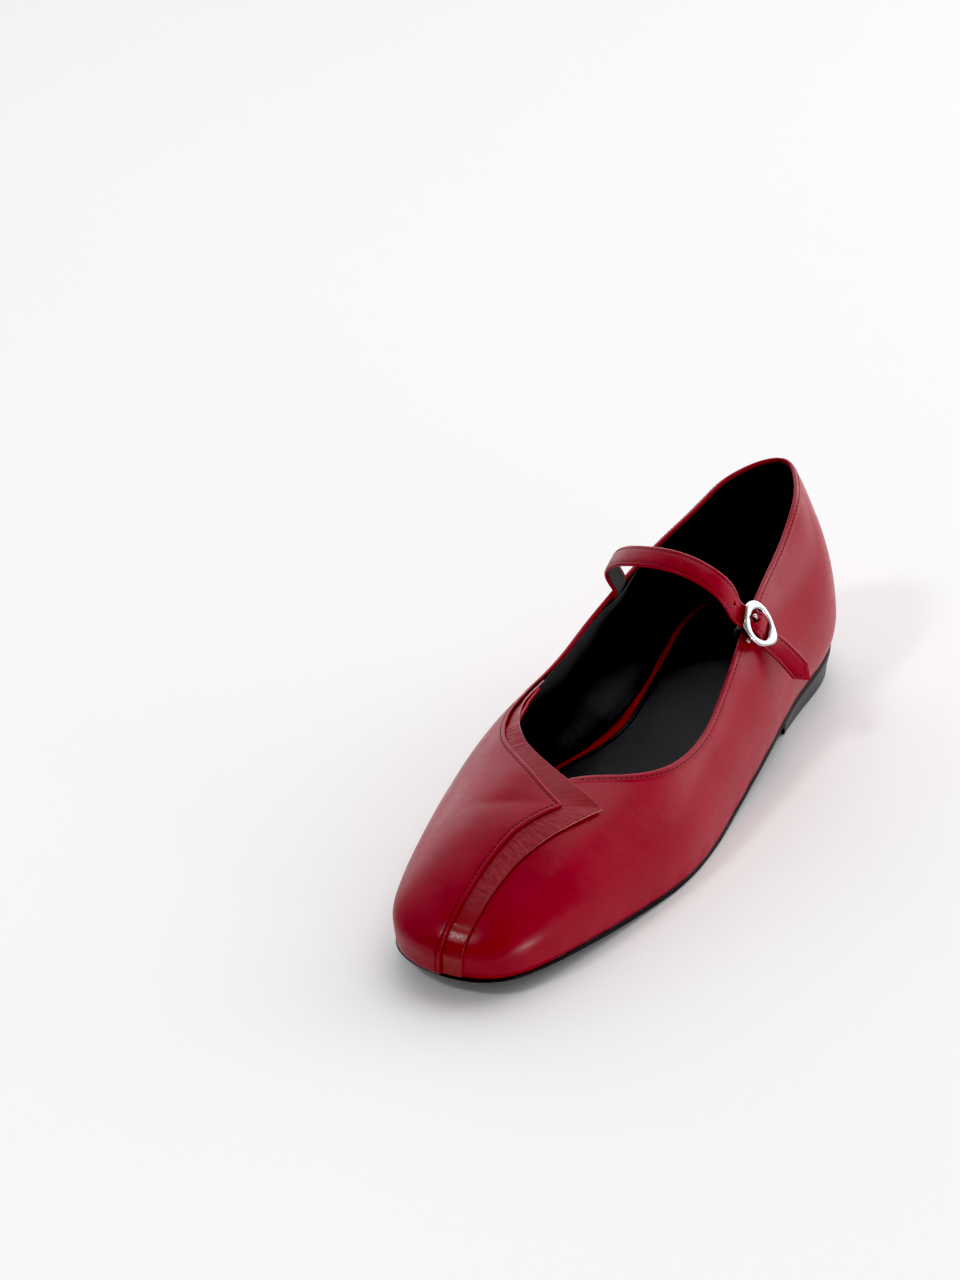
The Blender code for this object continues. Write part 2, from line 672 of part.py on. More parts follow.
def make_prong(home, tools, look):
    named = by_column(PRONG, PRONG_COLUMNS)
    points = at_buckle(named["down"], named["aside"], named["out"])
    place, shares = chord_lengths(points), np.linspace(0.0, 1.0, 15)
    middle = line_spline(place, points)(shares)
    radius = line_spline(place, named["radius"])(shares)
    _, side, face = frames(middle, np.broadcast_to(ASIDE, middle.shape))
    turn = np.linspace(0.0, 2.0 * np.pi, 11)
    ring = side[:, None] * np.cos(turn)[:, None] + face[:, None] * np.sin(turn)[:, None]
    points = middle[:, None] + ring * radius[:, None]
    points = np.concatenate([middle[:1, None] + 0.0 * ring[:1], points, middle[-1:, None] + 0.0 * ring[-1:]])
    points[:, -1] = points[:, 0]
    prong = sheet("buckle_prong", points, home, look)
    big, small = BAR_RADIUS + 0.2 + 0.35, 0.35
    u = np.linspace(0.0, 2.0 * np.pi, 25)[:, None]
    v = np.linspace(0.0, 2.0 * np.pi, 9)[None, :]
    eye = at_buckle(
        BAR_ALONG + (big + small * np.cos(v)) * np.cos(u), 0.6 + 1.6 * small * np.sin(v) + 0.0 * u,
        -BAR_DEPTH + (big + small * np.cos(v)) * np.sin(u),
    )
    eye[-1], eye[:, -1] = eye[0], eye[:, 0]
    hinge = sheet("prong_eye", eye, tools)
    hinge.hide_render = True
    boolean(prong, "UNION", hinge)
    return prong


def elastic_line():
    """From inside the outer collar, over its edge, and round the bar of the buckle."""
    row = ELASTIC_ROW
    reach = WALL + 2.7 * GAP + ELASTIC_THICKNESS / 2.0
    top = float(opening_angle(row))
    inside = [last_point(row, top - d) - last_normal(row, top - d) * reach for d in (11.0, 7.5, 4.5)]
    edge = last_point(row, top)
    over = [edge + np.array([-1.75, -0.3, 1.1]), edge + np.array([0.1, -0.4, 1.85])]
    turn = np.radians(np.array([112.0, 90.0, 60.0, 30.0, 0.0, -30.0, -60.0, -90.0, -120.0, -150.0, -172.0]))
    radius = BAR_RADIUS + 0.2 + ELASTIC_THICKNESS / 2.0
    loop = at_buckle(BAR_ALONG + radius * np.cos(turn), 0.0 * turn + 0.2, -BAR_DEPTH + radius * np.sin(turn))
    collar = last_point(row + 0.2, top) - last_point(row - 0.2, top)
    collar = -collar / np.linalg.norm(collar)
    share = np.clip((np.arange(len(inside) + len(over) + len(loop)) - 2.0) / 3.0, 0.0, 1.0)[:, None]
    return np.array([*inside, *over, *loop]), collar * (1.0 - share) + ASIDE * share


def make_elastic(home, tools, look):
    points, across = elastic_line()
    place = chord_lengths(points)
    shares = np.linspace(0.0, 1.0, 40)
    middle = line_spline(place, points)(shares)
    _, side, face = frames(middle, line_spline(place, across)(shares))
    sections = ribbon(middle, side, face, ELASTIC_WIDTH, ELASTIC_THICKNESS, 0.25)
    sections = capped(sections, middle)
    elastic = sheet("elastic_loop", closed(sections), home, look)
    first, last = (at_buckle(BAR_ALONG, end, -BAR_DEPTH) for end in (-0.5, 1.7))
    slot = cylinder("prong_slot", first, last, 3.6, tools, sides=20)
    slot.hide_render = True
    boolean(elastic, "DIFFERENCE", slot)
    return elastic


def main():
    empty_scene()
    shoe = collection("ballet_flat")
    tools = collection("cutters")
    red = (0.42, 0.012, 0.022)
    black = (0.012, 0.012, 0.013)
    make_upper(shoe, material("upper_leather", red, 0.25))
    make_band(shoe, material("band_leather", (0.36, 0.02, 0.03), 0.45))
    make_sole(shoe, material("sole_rubber", black, 0.5))
    make_insole(shoe, material("insole_leather", black, 0.6))
    make_heel(shoe, material("heel_rubber", black, 0.45))
    make_strap(shoe, tools, material("strap_leather", red, 0.3))
    silver = (0.80, 0.80, 0.82)
    make_buckle(shoe, tools, material("frame_metal", silver, 0.12, 1.0))
    make_prong(shoe, tools, material("prong_metal", silver, 0.15, 1.0))
    make_elastic(shoe, tools, material("elastic_fabric", black, 0.8))


main()
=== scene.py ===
"""Left ballet flat with an instep strap: its finished look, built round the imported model.

Sizes in the classes are millimetres on the shoe: x runs to the outer side of the foot, y to
the heel and z up from the floor. Meshes are in metres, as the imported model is.
"""

from __future__ import annotations

import logging
from dataclasses import astuple, dataclass, field
from enum import Enum
from itertools import product
from typing import Callable, Iterable, Sequence

import bmesh
import bpy
import numpy as np
from mathutils import Matrix, Vector


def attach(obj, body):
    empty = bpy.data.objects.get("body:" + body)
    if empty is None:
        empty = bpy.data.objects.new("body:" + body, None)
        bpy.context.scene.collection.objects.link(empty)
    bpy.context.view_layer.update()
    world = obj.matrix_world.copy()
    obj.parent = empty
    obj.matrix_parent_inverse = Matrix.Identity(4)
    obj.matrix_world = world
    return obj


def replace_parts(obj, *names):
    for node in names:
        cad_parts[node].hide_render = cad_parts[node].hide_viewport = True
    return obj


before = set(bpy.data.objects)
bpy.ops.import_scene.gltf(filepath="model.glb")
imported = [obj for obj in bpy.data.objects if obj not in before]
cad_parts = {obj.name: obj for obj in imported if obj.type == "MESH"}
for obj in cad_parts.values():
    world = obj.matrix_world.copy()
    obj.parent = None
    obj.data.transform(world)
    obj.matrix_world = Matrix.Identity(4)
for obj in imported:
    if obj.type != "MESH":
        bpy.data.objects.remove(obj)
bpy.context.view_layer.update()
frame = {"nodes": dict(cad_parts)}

MM = 0.001
BODY = "root"
Array = np.ndarray
Triple = tuple[float, float, float]
Piece = bpy.types.Object
Socket = bpy.types.NodeSocket
LOG = logging.getLogger("ballet_flat")


# ---- curves through tables


class RingSpline:
    """A smooth closed curve through rows of values, asked by turns from 0 to 1."""

    def __init__(self, rows: Array) -> None:
        """Solve the curve.

        Args:
            rows: Values of each station, evenly spaced round the ring.
        """
        self.rows = np.asarray(rows, float)
        count = len(self.rows)
        step = np.roll(self.rows, -1, 0) - 2 * self.rows + np.roll(self.rows, 1, 0)
        matrix = 4 * np.eye(count) + np.roll(np.eye(count), 1, 0) + np.roll(np.eye(count), -1, 0)
        self.bend = np.linalg.solve(matrix, 6 * step)

    def __call__(self, turn: Array | float) -> Array:
        """Values at shares of the way round.

        Args:
            turn: The shares.

        Returns:
            The values, as the last axis.
        """
        count = len(self.rows)
        place = (np.asarray(turn, float) % 1) * count
        low = np.floor(place).astype(int) % count
        high = (low + 1) % count
        s = (place - np.floor(place))[..., None]
        r = 1 - s
        curve = (r**3 - r) * self.bend[low] + (s**3 - s) * self.bend[high]
        return r * self.rows[low] + s * self.rows[high] + curve / 6


class LineSpline:
    """A smooth open curve through rows of values, straight past both its ends."""

    def __init__(self, stations: Array, rows: Array) -> None:
        """Solve the curve.

        Args:
            stations: Rising places.
            rows: Values, or one value, of each.
        """
        self.x = np.asarray(stations, float)
        rows = np.asarray(rows, float)
        self.flat = rows.ndim == 1
        self.rows = rows[:, None] if self.flat else rows
        step = np.diff(self.x)
        count = len(self.x)
        matrix = np.eye(count)
        right = np.zeros_like(self.rows)
        for i in range(1, count - 1):
            matrix[i, i - 1 : i + 2] = step[i - 1], 2 * (step[i - 1] + step[i]), step[i]
            ahead = (self.rows[i + 1] - self.rows[i]) / step[i]
            right[i] = 6 * (ahead - (self.rows[i] - self.rows[i - 1]) / step[i - 1])
        self.bend = np.linalg.solve(matrix, right)

    def __call__(self, place: Array | float) -> Array:
        """Values at places.

        Args:
            place: The places.

        Returns:
            The values; one column has no last axis.
        """
        place = np.asarray(place, float)
        held = np.clip(place, self.x[0], self.x[-1])
        i = np.clip(np.searchsorted(self.x, held) - 1, 0, len(self.x) - 2)
        h = (self.x[i + 1] - self.x[i])[..., None]
        b = (held - self.x[i])[..., None] / h
        a = 1 - b
        low, high = self.rows[i], self.rows[i + 1]
        curve = (a**3 - a) * self.bend[i] + (b**3 - b) * self.bend[i + 1]
        inside = a * low + b * high + curve * h * h / 6
        turn = (3 * b * b - 1) * self.bend[i + 1] - (3 * a * a - 1) * self.bend[i]
        slope = (high - low) / h + turn * h / 6
        found = inside + slope * (place - held)[..., None]
        return found[..., 0] if self.flat else found


def unit(vectors: Array) -> Array:
    """The same directions with a length of one."""
    vectors = np.asarray(vectors, float)
    return vectors / np.maximum(np.linalg.norm(vectors, axis=-1, keepdims=True), 1e-12)


def table(points: Iterable[object]) -> Array:
    """The numbers of a table's points, a row for each."""
    return np.array([astuple(point) for point in points])


def at_lengths(wanted: Array, length: Array, line: Array) -> Array:
    """Rows of a line, whose lengths are given, at wanted lengths."""
    return np.stack([np.interp(wanted, length, column) for column in line.T], -1)


def running_length(points: Array) -> Array:
    """Length from the first point to each point of a line, along axis 0."""
    steps = np.linalg.norm(np.diff(points, axis=0), axis=-1)
    return np.concatenate([np.zeros_like(steps[:1]), np.cumsum(steps, axis=0)])


def ease(value: Array | float, low: float, high: float) -> Array:
    """A soft step from 0 at low to 1 at high."""
    t = np.clip((np.asarray(value, float) - low) / (high - low), 0, 1)
    return t * t * (3 - 2 * t)


def bump_of(value: Array | float, middle: float, width: float) -> Array:
    """A soft hump of height 1 round a middle."""
    return np.exp(-(((np.asarray(value, float) - middle) / width) ** 2))


# ---- the last


@dataclass(frozen=True)
class Rib:
    """One section of the last, from the sole up to its crown."""

    across: float  # share of the ball width
    along: float  # share of the length
    tuck: float  # how far the wall is drawn in below its widest line
    girth: float  # that line's height over the sole
    full: float  # roundness: 2 is an ellipse
    top: float  # degrees up at which the opening starts
    aim_x: float  # the midline point that it leans to
    aim_y: float


@dataclass
class Last:
    """The form of the left foot that the shoe is made on."""

    length: float = 252
    ball_width: float = 85
    ribs: tuple[Rib, ...] = (
        Rib(0, 0.5, 3, 16, 2.35, 42.5, 0, 96),  # back of the heel
        Rib(0.194, 0.462, 3.2, 14.5, 2.2, 53.5, 2, 94), Rib(0.365, 0.381, 2.8, 13, 2.1, 62, 2, 90),
        Rib(0.391, 0.258, 2, 12, 2, 52, 1, 66), Rib(0.424, 0.127, 0.9, 10, 2, 44, 0, 32),
        Rib(0.459, -0.016, 0.3, 7.5, 2.05, 37, 0, 0),  # outer waist
        Rib(0.482, -0.147, 0.1, 5.6, 2.2, 47.5, 0, -20), Rib(0.421, -0.266, 0.1, 5, 2.3, 66, 0, -30),
        Rib(0.332, -0.385, 0.1, 4.4, 2.35, 75, 0, -32), Rib(0.2, -0.473, 0.1, 4.3, 2.35, 77.5, 0, -32),
        Rib(-0.024, -0.5, 0.1, 5, 2.3, 78.5, 0, -32),  # tip of the toe
        Rib(-0.271, -0.482, 0.3, 6.6, 2.3, 79.5, 0, -32), Rib(-0.392, -0.411, 1, 9.2, 2.3, 78, 0, -32),
        Rib(-0.474, -0.296, 2.2, 13, 2.3, 73.5, 0, -30), Rib(-0.518, -0.171, 3.8, 16.6, 2.35, 60, 0, -22),
        Rib(-0.459, -0.03, 7.4, 20.4, 2.4, 35, 0, -4),  # inner waist
        Rib(-0.419, 0.115, 10.2, 22.5, 2.35, 33, 0, 30), Rib(-0.408, 0.254, 7.7, 20.8, 2.25, 45, 0, 65),
        Rib(-0.388, 0.381, 3.4, 18, 2.1, 58.5, -1, 90), Rib(-0.224, 0.464, 2.8, 16.2, 2.15, 50.5, -2, 94),
    )
    # Side view: place along the shoe, height of the sole line, height of the crown.
    profile: tuple[Triple, ...] = (
        (-126, 7.9, 30), (-100, 6.8, 35), (-75, 4.3, 39.8), (-48, 2.5, 43), (-18, 2.4, 51), (20, 6.7, 62.5),
        (60, 10.7, 70.3), (98, 12.8, 75.6), (126, 14.2, 98.5),
    )
    count: int = field(init=False)

    def __post_init__(self) -> None:
        """Solve the curves through the tables."""
        self.count = len(self.ribs)
        self._ribs = RingSpline(table(self.ribs))
        along, feather, crown = np.array(self.profile).T
        self.feather = LineSpline(along, feather)
        self.crown = LineSpline(along, crown)

    def rib(self, row: Array | float) -> Rib:
        """The rib at rows, also between the table's; its fields are arrays."""
        return Rib(*np.moveaxis(self._ribs(np.asarray(row, float) / self.count), -1, 0))

    def opening(self, row: Array | float) -> Array:
        """Angle up the wall where the opening starts."""
        return self.rib(row).top

    def point(self, row: Array | float, angle: Array | float) -> Array:
        """Places on the outside of the shoe.

        Args:
            row: Rows round the shoe: 0 at the heel's back, 10 at the toe.
            angle: Degrees up: -90 at the sole, 0 at the widest line, 90 at the crown.

        Returns:
            The places.
        """
        row, angle = np.broadcast_arrays(np.asarray(row, float), np.asarray(angle, float))
        rib = self.rib(row)
        x, y = rib.across * self.ball_width, rib.along * self.length
        high = angle >= 0
        turn = np.radians(np.clip(angle, 0, 90))
        reach = np.where(high, np.cos(turn) ** (2 / rib.full), 1)
        rise = np.where(high, np.sin(turn) ** (2 / rib.full), 0)
        under = np.where(high, 0, -angle / 90)
        reach = reach - rib.tuck * under**2.2 / np.hypot(x - rib.aim_x, y - rib.aim_y)
        px = rib.aim_x + (x - rib.aim_x) * reach
        py = rib.aim_y + (y - rib.aim_y) * reach
        widest = self.feather(y) + rib.girth
        top = widest + (self.crown(py) - widest) * rise
        return np.stack([px, py, np.where(high, top, widest - rib.girth * under)], -1)

    def normal(self, row: Array | float, angle: Array | float) -> Array:
        """Outward directions at places of the outside."""
        row, angle = np.broadcast_arrays(np.asarray(row, float), np.asarray(angle, float))
        along = self.point(row + 4e-3, angle) - self.point(row - 4e-3, angle)
        up = self.point(row, angle + 0.1) - self.point(row, angle - 0.1)
        return unit(np.cross(up, along))

    def unrolled(self, row: Array | float, angle: Array | float) -> Array:
        """Places of the outside laid out flat, the wall folded outwards."""
        row, angle = np.broadcast_arrays(np.asarray(row, float), np.asarray(angle, float))
        rib = self.rib(row)
        x = rib.across * self.ball_width - rib.aim_x
        y = rib.along * self.length - rib.aim_y
        reach = np.hypot(x, y)
        wall = rib.girth * np.maximum(-angle, 0) / 90
        share = 1 - np.maximum(angle, 0) / 90 + wall / reach
        return np.stack([rib.aim_x + x * share, rib.aim_y + y * share], -1)

    def find(self, chart: Callable[[Array, Array], Array], wanted: Array, low: float) -> Array:
        """Rows and angles of flat places, by Newton's method.

        Args:
            chart: Flat places of rows and angles.
            wanted: Flat places.
            low: Lowest angle allowed.

        Returns:
            Rows and angles.
        """
        rows, angles = np.meshgrid(np.arange(0, self.count, 0.2), np.linspace(low + 2, 86, 30), indexing="ij")
        coarse = chart(rows, angles).reshape(-1, 2)
        flat = np.asarray(wanted, float).reshape(-1, 2)
        parts = np.array_split(flat, max(1, len(flat) // 2000))
        near = np.concatenate([np.argmin(((part[:, None] - coarse) ** 2).sum(-1), axis=1) for part in parts])
        row, angle = rows.ravel()[near], angles.ravel()[near]
        for _ in range(14):
            miss = flat - chart(row, angle)
            by_row = (chart(row + 1e-4, angle) - chart(row - 1e-4, angle)) / 2e-4
            by_angle = (chart(row, angle + 1e-3) - chart(row, angle - 1e-3)) / 2e-3
            area = by_row[:, 0] * by_angle[:, 1] - by_row[:, 1] * by_angle[:, 0]
            area = np.where(np.abs(area) < 1e-6, 1e-6, area)
            step_row = (miss[:, 0] * by_angle[:, 1] - miss[:, 1] * by_angle[:, 0]) / area
            step_angle = (by_row[:, 0] * miss[:, 1] - by_row[:, 1] * miss[:, 0]) / area
            row = row + np.clip(step_row, -0.5, 0.5)
            angle = np.clip(angle + np.clip(step_angle, -12, 12), low, 88)
        return np.stack([row, angle], -1).reshape(*np.shape(wanted)[:-1], 2)

    def under_plan(self, plan: Array) -> Array:
        """Rows and angles of the upper's places under plan places."""
        return self.find(lambda row, angle: self.point(row, angle)[..., :2], plan, 0.5)

    def even(self, chart: Array, count: int) -> Array:
        """A line of rows and angles resampled to even steps in space."""
        length = running_length(self.point(*chart.T))
        return at_lengths(np.linspace(0, length[-1], count), length, chart)

    def toe_share(self, y: Array) -> Array:
        """How far a place belongs to the toe, from 0 to 1."""
        return 1 - ease(y, -118, -78)

    def rim(self, row: Array | float, outwards: Array | float) -> Array:
        """Plan places on the sole line, moved outwards in the floor plane."""
        row = np.asarray(row, float)
        here = self.point(row, -90)
        way = self.point(row + 0.01, -90) - self.point(row - 0.01, -90)
        side = unit(np.stack([-way[..., 1], way[..., 0]], -1))
        return here[..., :2] + side * np.asarray(outwards, float)[..., None]


# ---- meshes


def grid_object(name: str, points: Array, uv: Array | None = None, masks: dict[str, Array] | None = None,
                skin: float = 0, facing: Array | None = None) -> Piece:
    """A grid with its corners at given places, its meeting edges merged.

    Args:
        name: Its name.
        points: Places, rows by columns.
        uv: Pattern places of the same.
        masks: Values from 0 to 1 for the material.
        skin: Thickness of an open sheet, inwards.
        facing: Outward directions of an open sheet.

    Returns:
        The piece.
    """
    rows, columns = points.shape[0] - 1, points.shape[1] - 1
    bm = bmesh.new()
    bmesh.ops.create_grid(bm, x_segments=rows, y_segments=columns, size=0.5)
    layers = {key: bm.verts.layers.float.new(key) for key in masks or {}}
    spots = {}
    for vertex in bm.verts:
        i = round((vertex.co.x + 0.5) * rows)
        j = round((vertex.co.y + 0.5) * columns)
        spots[vertex] = (i, j)
        vertex.co = points[i, j] * MM
        for key, layer in layers.items():
            vertex[layer] = float(masks[key][i, j])
    if uv is not None:
        layer = bm.loops.layers.uv.new("pattern")
        for face in bm.faces:
            for loop in face.loops:
                loop[layer].uv = uv[spots[loop.vert]]
    if facing is not None:
        bm.normal_update()
        agree = sum(face.normal.dot(Vector(facing[spots[face.verts[0]]])) for face in bm.faces)
        if agree < 0:
            bmesh.ops.reverse_faces(bm, faces=bm.faces)
    bmesh.ops.remove_doubles(bm, verts=bm.verts, dist=1e-6)
    if facing is None:
        bmesh.ops.recalc_face_normals(bm, faces=bm.faces)
    return finished(name, bm, skin)


def finished(name: str, bm: bmesh.types.BMesh, skin: float = 0) -> Piece:
    """Turn a bmesh into a smooth piece on the shoe's body.

    Args:
        name: Its name.
        bm: Its mesh, in metres; it is freed.
        skin: Thickness of an open sheet, inwards.

    Returns:
        The piece.
    """
    mesh = bpy.data.meshes.new(name)
    bm.to_mesh(mesh)
    bm.free()
    mesh.shade_smooth()
    obj = bpy.data.objects.new(name, mesh)
    bpy.context.scene.collection.objects.link(obj)
    if skin:
        wall = obj.modifiers.new("skin", "SOLIDIFY")
        wall.thickness = skin * MM
        wall.offset = -1
    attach(obj, BODY)
    return obj


def dress(obj: Piece, look: bpy.types.Material) -> Piece:
    """Give a piece its material and log its face count.

    Args:
        obj: The piece.
        look: Its material.

    Returns:
        The piece.
    """
    obj.data.materials.append(look)
    LOG.info("%s: %d faces", obj.name, len(obj.data.polygons))
    return obj


@dataclass(frozen=True)
class Roll:
    """A folded edge: the leather turned over a small radius and laid back inside."""

    radius: float = 0.5
    turn: float = 180
    steps: int = 8
    inside: float = 2.4
    inside_steps: int = 4

    def places(self) -> list[tuple[float, float]]:
        """How far out of the edge and down from the surface its lines lie."""
        turned = np.radians(np.linspace(0, self.turn, self.steps + 1)[1:])
        over = [(self.radius * np.sin(a), self.radius * (1 - np.cos(a))) for a in turned]
        back = np.linspace(0, self.inside, self.inside_steps + 1)[1:] if self.inside else []
        return over + [(over[-1][0] - b, over[-1][1]) for b in back]


def outward_of_edge(edge: Array, inner: Array, normal: Array) -> Array:
    """Directions in the surface, away from a sheet at its edge.

    Args:
        edge: Places of the edge.
        inner: Places of a line inside the sheet.
        normal: Outward directions at the edge.

    Returns:
        The directions.
    """
    along = unit(np.gradient(edge, axis=0))
    side = unit(np.cross(normal, along))
    way = np.sign(np.sum(side * (edge - inner), axis=-1, keepdims=True))
    return side * np.where(way == 0, 1, way)


def with_roll(points: Array, normal: Array, roll: Roll) -> Array:
    """A sheet folded over at its first column.

    Args:
        points: Places, along the edge by away from it.
        normal: Outward directions at the edge.
        roll: The fold.

    Returns:
        The sheet with the fold's columns in front.
    """
    edge = points[:, 0]
    out = outward_of_edge(edge, points[:, 2], normal)
    lines = [edge + out * away - normal * down for away, down in roll.places()]
    return np.concatenate([np.stack(lines[::-1], axis=1), points], axis=1)


def inset(last: Last, chart: Array, amount: Array | float, inner: Array) -> Array:
    """A line on the form, moved sideways on the surface.

    Args:
        last: The form.
        chart: Rows and angles of the line.
        amount: How far, for each place or for all.
        inner: Directions on the side it moves to.

    Returns:
        Rows and angles.
    """
    row, angle = chart.T
    side = unit(np.cross(last.normal(row, angle), np.gradient(last.point(row, angle), axis=0)))
    side *= np.sign(np.sum(side * inner, axis=-1, keepdims=True))
    shift = side * np.asarray(amount, float)[..., None]
    by_row = (last.point(row + 1e-3, angle) - last.point(row - 1e-3, angle)) / 2e-3
    by_angle = (last.point(row, angle + 1e-2) - last.point(row, angle - 1e-2)) / 2e-2
    slopes = np.stack([by_row, by_angle], -1)
    square = np.swapaxes(slopes, -1, -2) @ slopes + 1e-9 * np.eye(2)
    right = np.einsum("...ij,...i->...j", slopes, shift)
    return chart + np.linalg.solve(square, right[..., None])[..., 0]


def nearest(points: Array, line: Array) -> tuple[Array, Array]:
    """Distances to a line, and the lengths along it of the nearest places.

    Args:
        points: Places, with any leading axes.
        line: Places of the line.

    Returns:
        Distances and lengths, with those axes.
    """
    flat = points.reshape(-1, 3)
    start, way = line[:-1], np.diff(line, axis=0)
    size = np.maximum((way**2).sum(-1), 1e-12)
    length = running_length(line)
    found, along = [], []
    for part in np.array_split(flat, max(1, len(flat) * len(line) // 2_000_000)):
        offset = part[:, None] - start[None]
        share = np.clip((offset * way).sum(-1) / size, 0, 1)
        gap = np.linalg.norm(offset - share[..., None] * way, axis=-1)
        best = np.argmin(gap, axis=1)
        pick = np.arange(len(part)), best
        found.append(gap[pick])
        along.append(length[best] + share[pick] * np.sqrt(size[best]))
    found, along = (np.concatenate(part).reshape(points.shape[:-1]) for part in (found, along))
    return found, along


def even(line: Array, count: int) -> Array:
    """A line of places resampled to even steps."""
    length = running_length(line)
    return at_lengths(np.linspace(0, length[-1], count), length, line)


def ripple(along: Array, across: Array, wave: float, seed: int) -> Array:
    """Uneven ripples across a strip, from about -1 to 1.

    Args:
        along: Distances along the strip.
        across: Distances across it.
        wave: Usual distance between crests.
        seed: Chooses one pattern.

    Returns:
        Heights.
    """
    chance = np.random.default_rng(seed)
    total = np.zeros(np.broadcast(along, across).shape)
    for share in (0.62, 0.83, 1, 1.31, 1.77, 2.6):
        phase, lean, drift = chance.uniform(0, 6.28, 3)
        bend = 0.9 * np.sin(across / (1.7 + share) + drift) + 0.35 * (lean - 3.14) * across / 3
        total = total + np.sin(6.283 * along / (wave * share) + phase + bend) / 6**0.5
    return total


@dataclass(frozen=True)
class StitchLook:
    """Size of one stitch and the distance to the next."""

    pitch: float = 1.87
    length: float = 1.25
    width: float = 0.58
    height: float = 0.3
    sunk: float = -0.03
    # hole: size of the dark disc at each needle hole, painted shade standing in for the hole
    hole: float = 0.26


def stitch_row(name: str, line: Array, out: Array, look: StitchLook = StitchLook()) -> Piece:
    """A row of stitches as one mesh of small rounded bars.

    Args:
        name: Its name.
        line: Places of the seam.
        out: Directions out of the leather.
        look: Sizes of the stitches.

    Returns:
        The piece.
    """
    length = running_length(line)
    count = max(1, int(length[-1] / look.pitch))
    wanted = (np.arange(count) + 0.5) * length[-1] / count
    places, outs, ways = (at_lengths(wanted, length, part) for part in (line, out, unit(np.gradient(line, axis=0))))
    bm = bmesh.new()
    # Each stitch is a small bar; between stitches a flat disc of the second material is painted shade standing in for
    # the needle hole.
    shapes = ((0, (look.length, look.width, look.height), 0), (0.5, (look.hole * 1.3, look.hole, 0.16), 1))
    for (place, way, up), (shift, sizes, slot) in product(zip(places, unit(ways), unit(outs)), shapes):
        side = unit(np.cross(up, way))
        up = np.cross(way, side)
        at = place + way * shift * length[-1] / count - up * (look.sunk if slot == 0 else 0)
        turn = Matrix(np.column_stack([way, side, up]).tolist()).to_4x4()
        size = Matrix.Diagonal((*(value / 2 for value in sizes), 1))
        made = bmesh.ops.create_uvsphere(
            bm, u_segments=8, v_segments=5, radius=1,
            matrix=Matrix.Translation(Vector(at) * MM) @ Matrix.Scale(MM, 4) @ turn @ size,
        )
        for face in {face for vertex in made["verts"] for face in vertex.link_faces}:
            face.material_index = slot
    return finished(name, bm)


# ---- the upper


@dataclass(frozen=True)
class Station:
    """A place of the underlay, in plan: its free edge, the panel's edge, its lift."""

    free_x: float
    free_y: float
    panel_x: float
    panel_y: float
    lift: float = 0


@dataclass(frozen=True)
class ToeStation:
    """A place of the underlay over the toe's edge: the row of each edge, an angle."""

    free_row: float
    panel_row: float
    angle: float


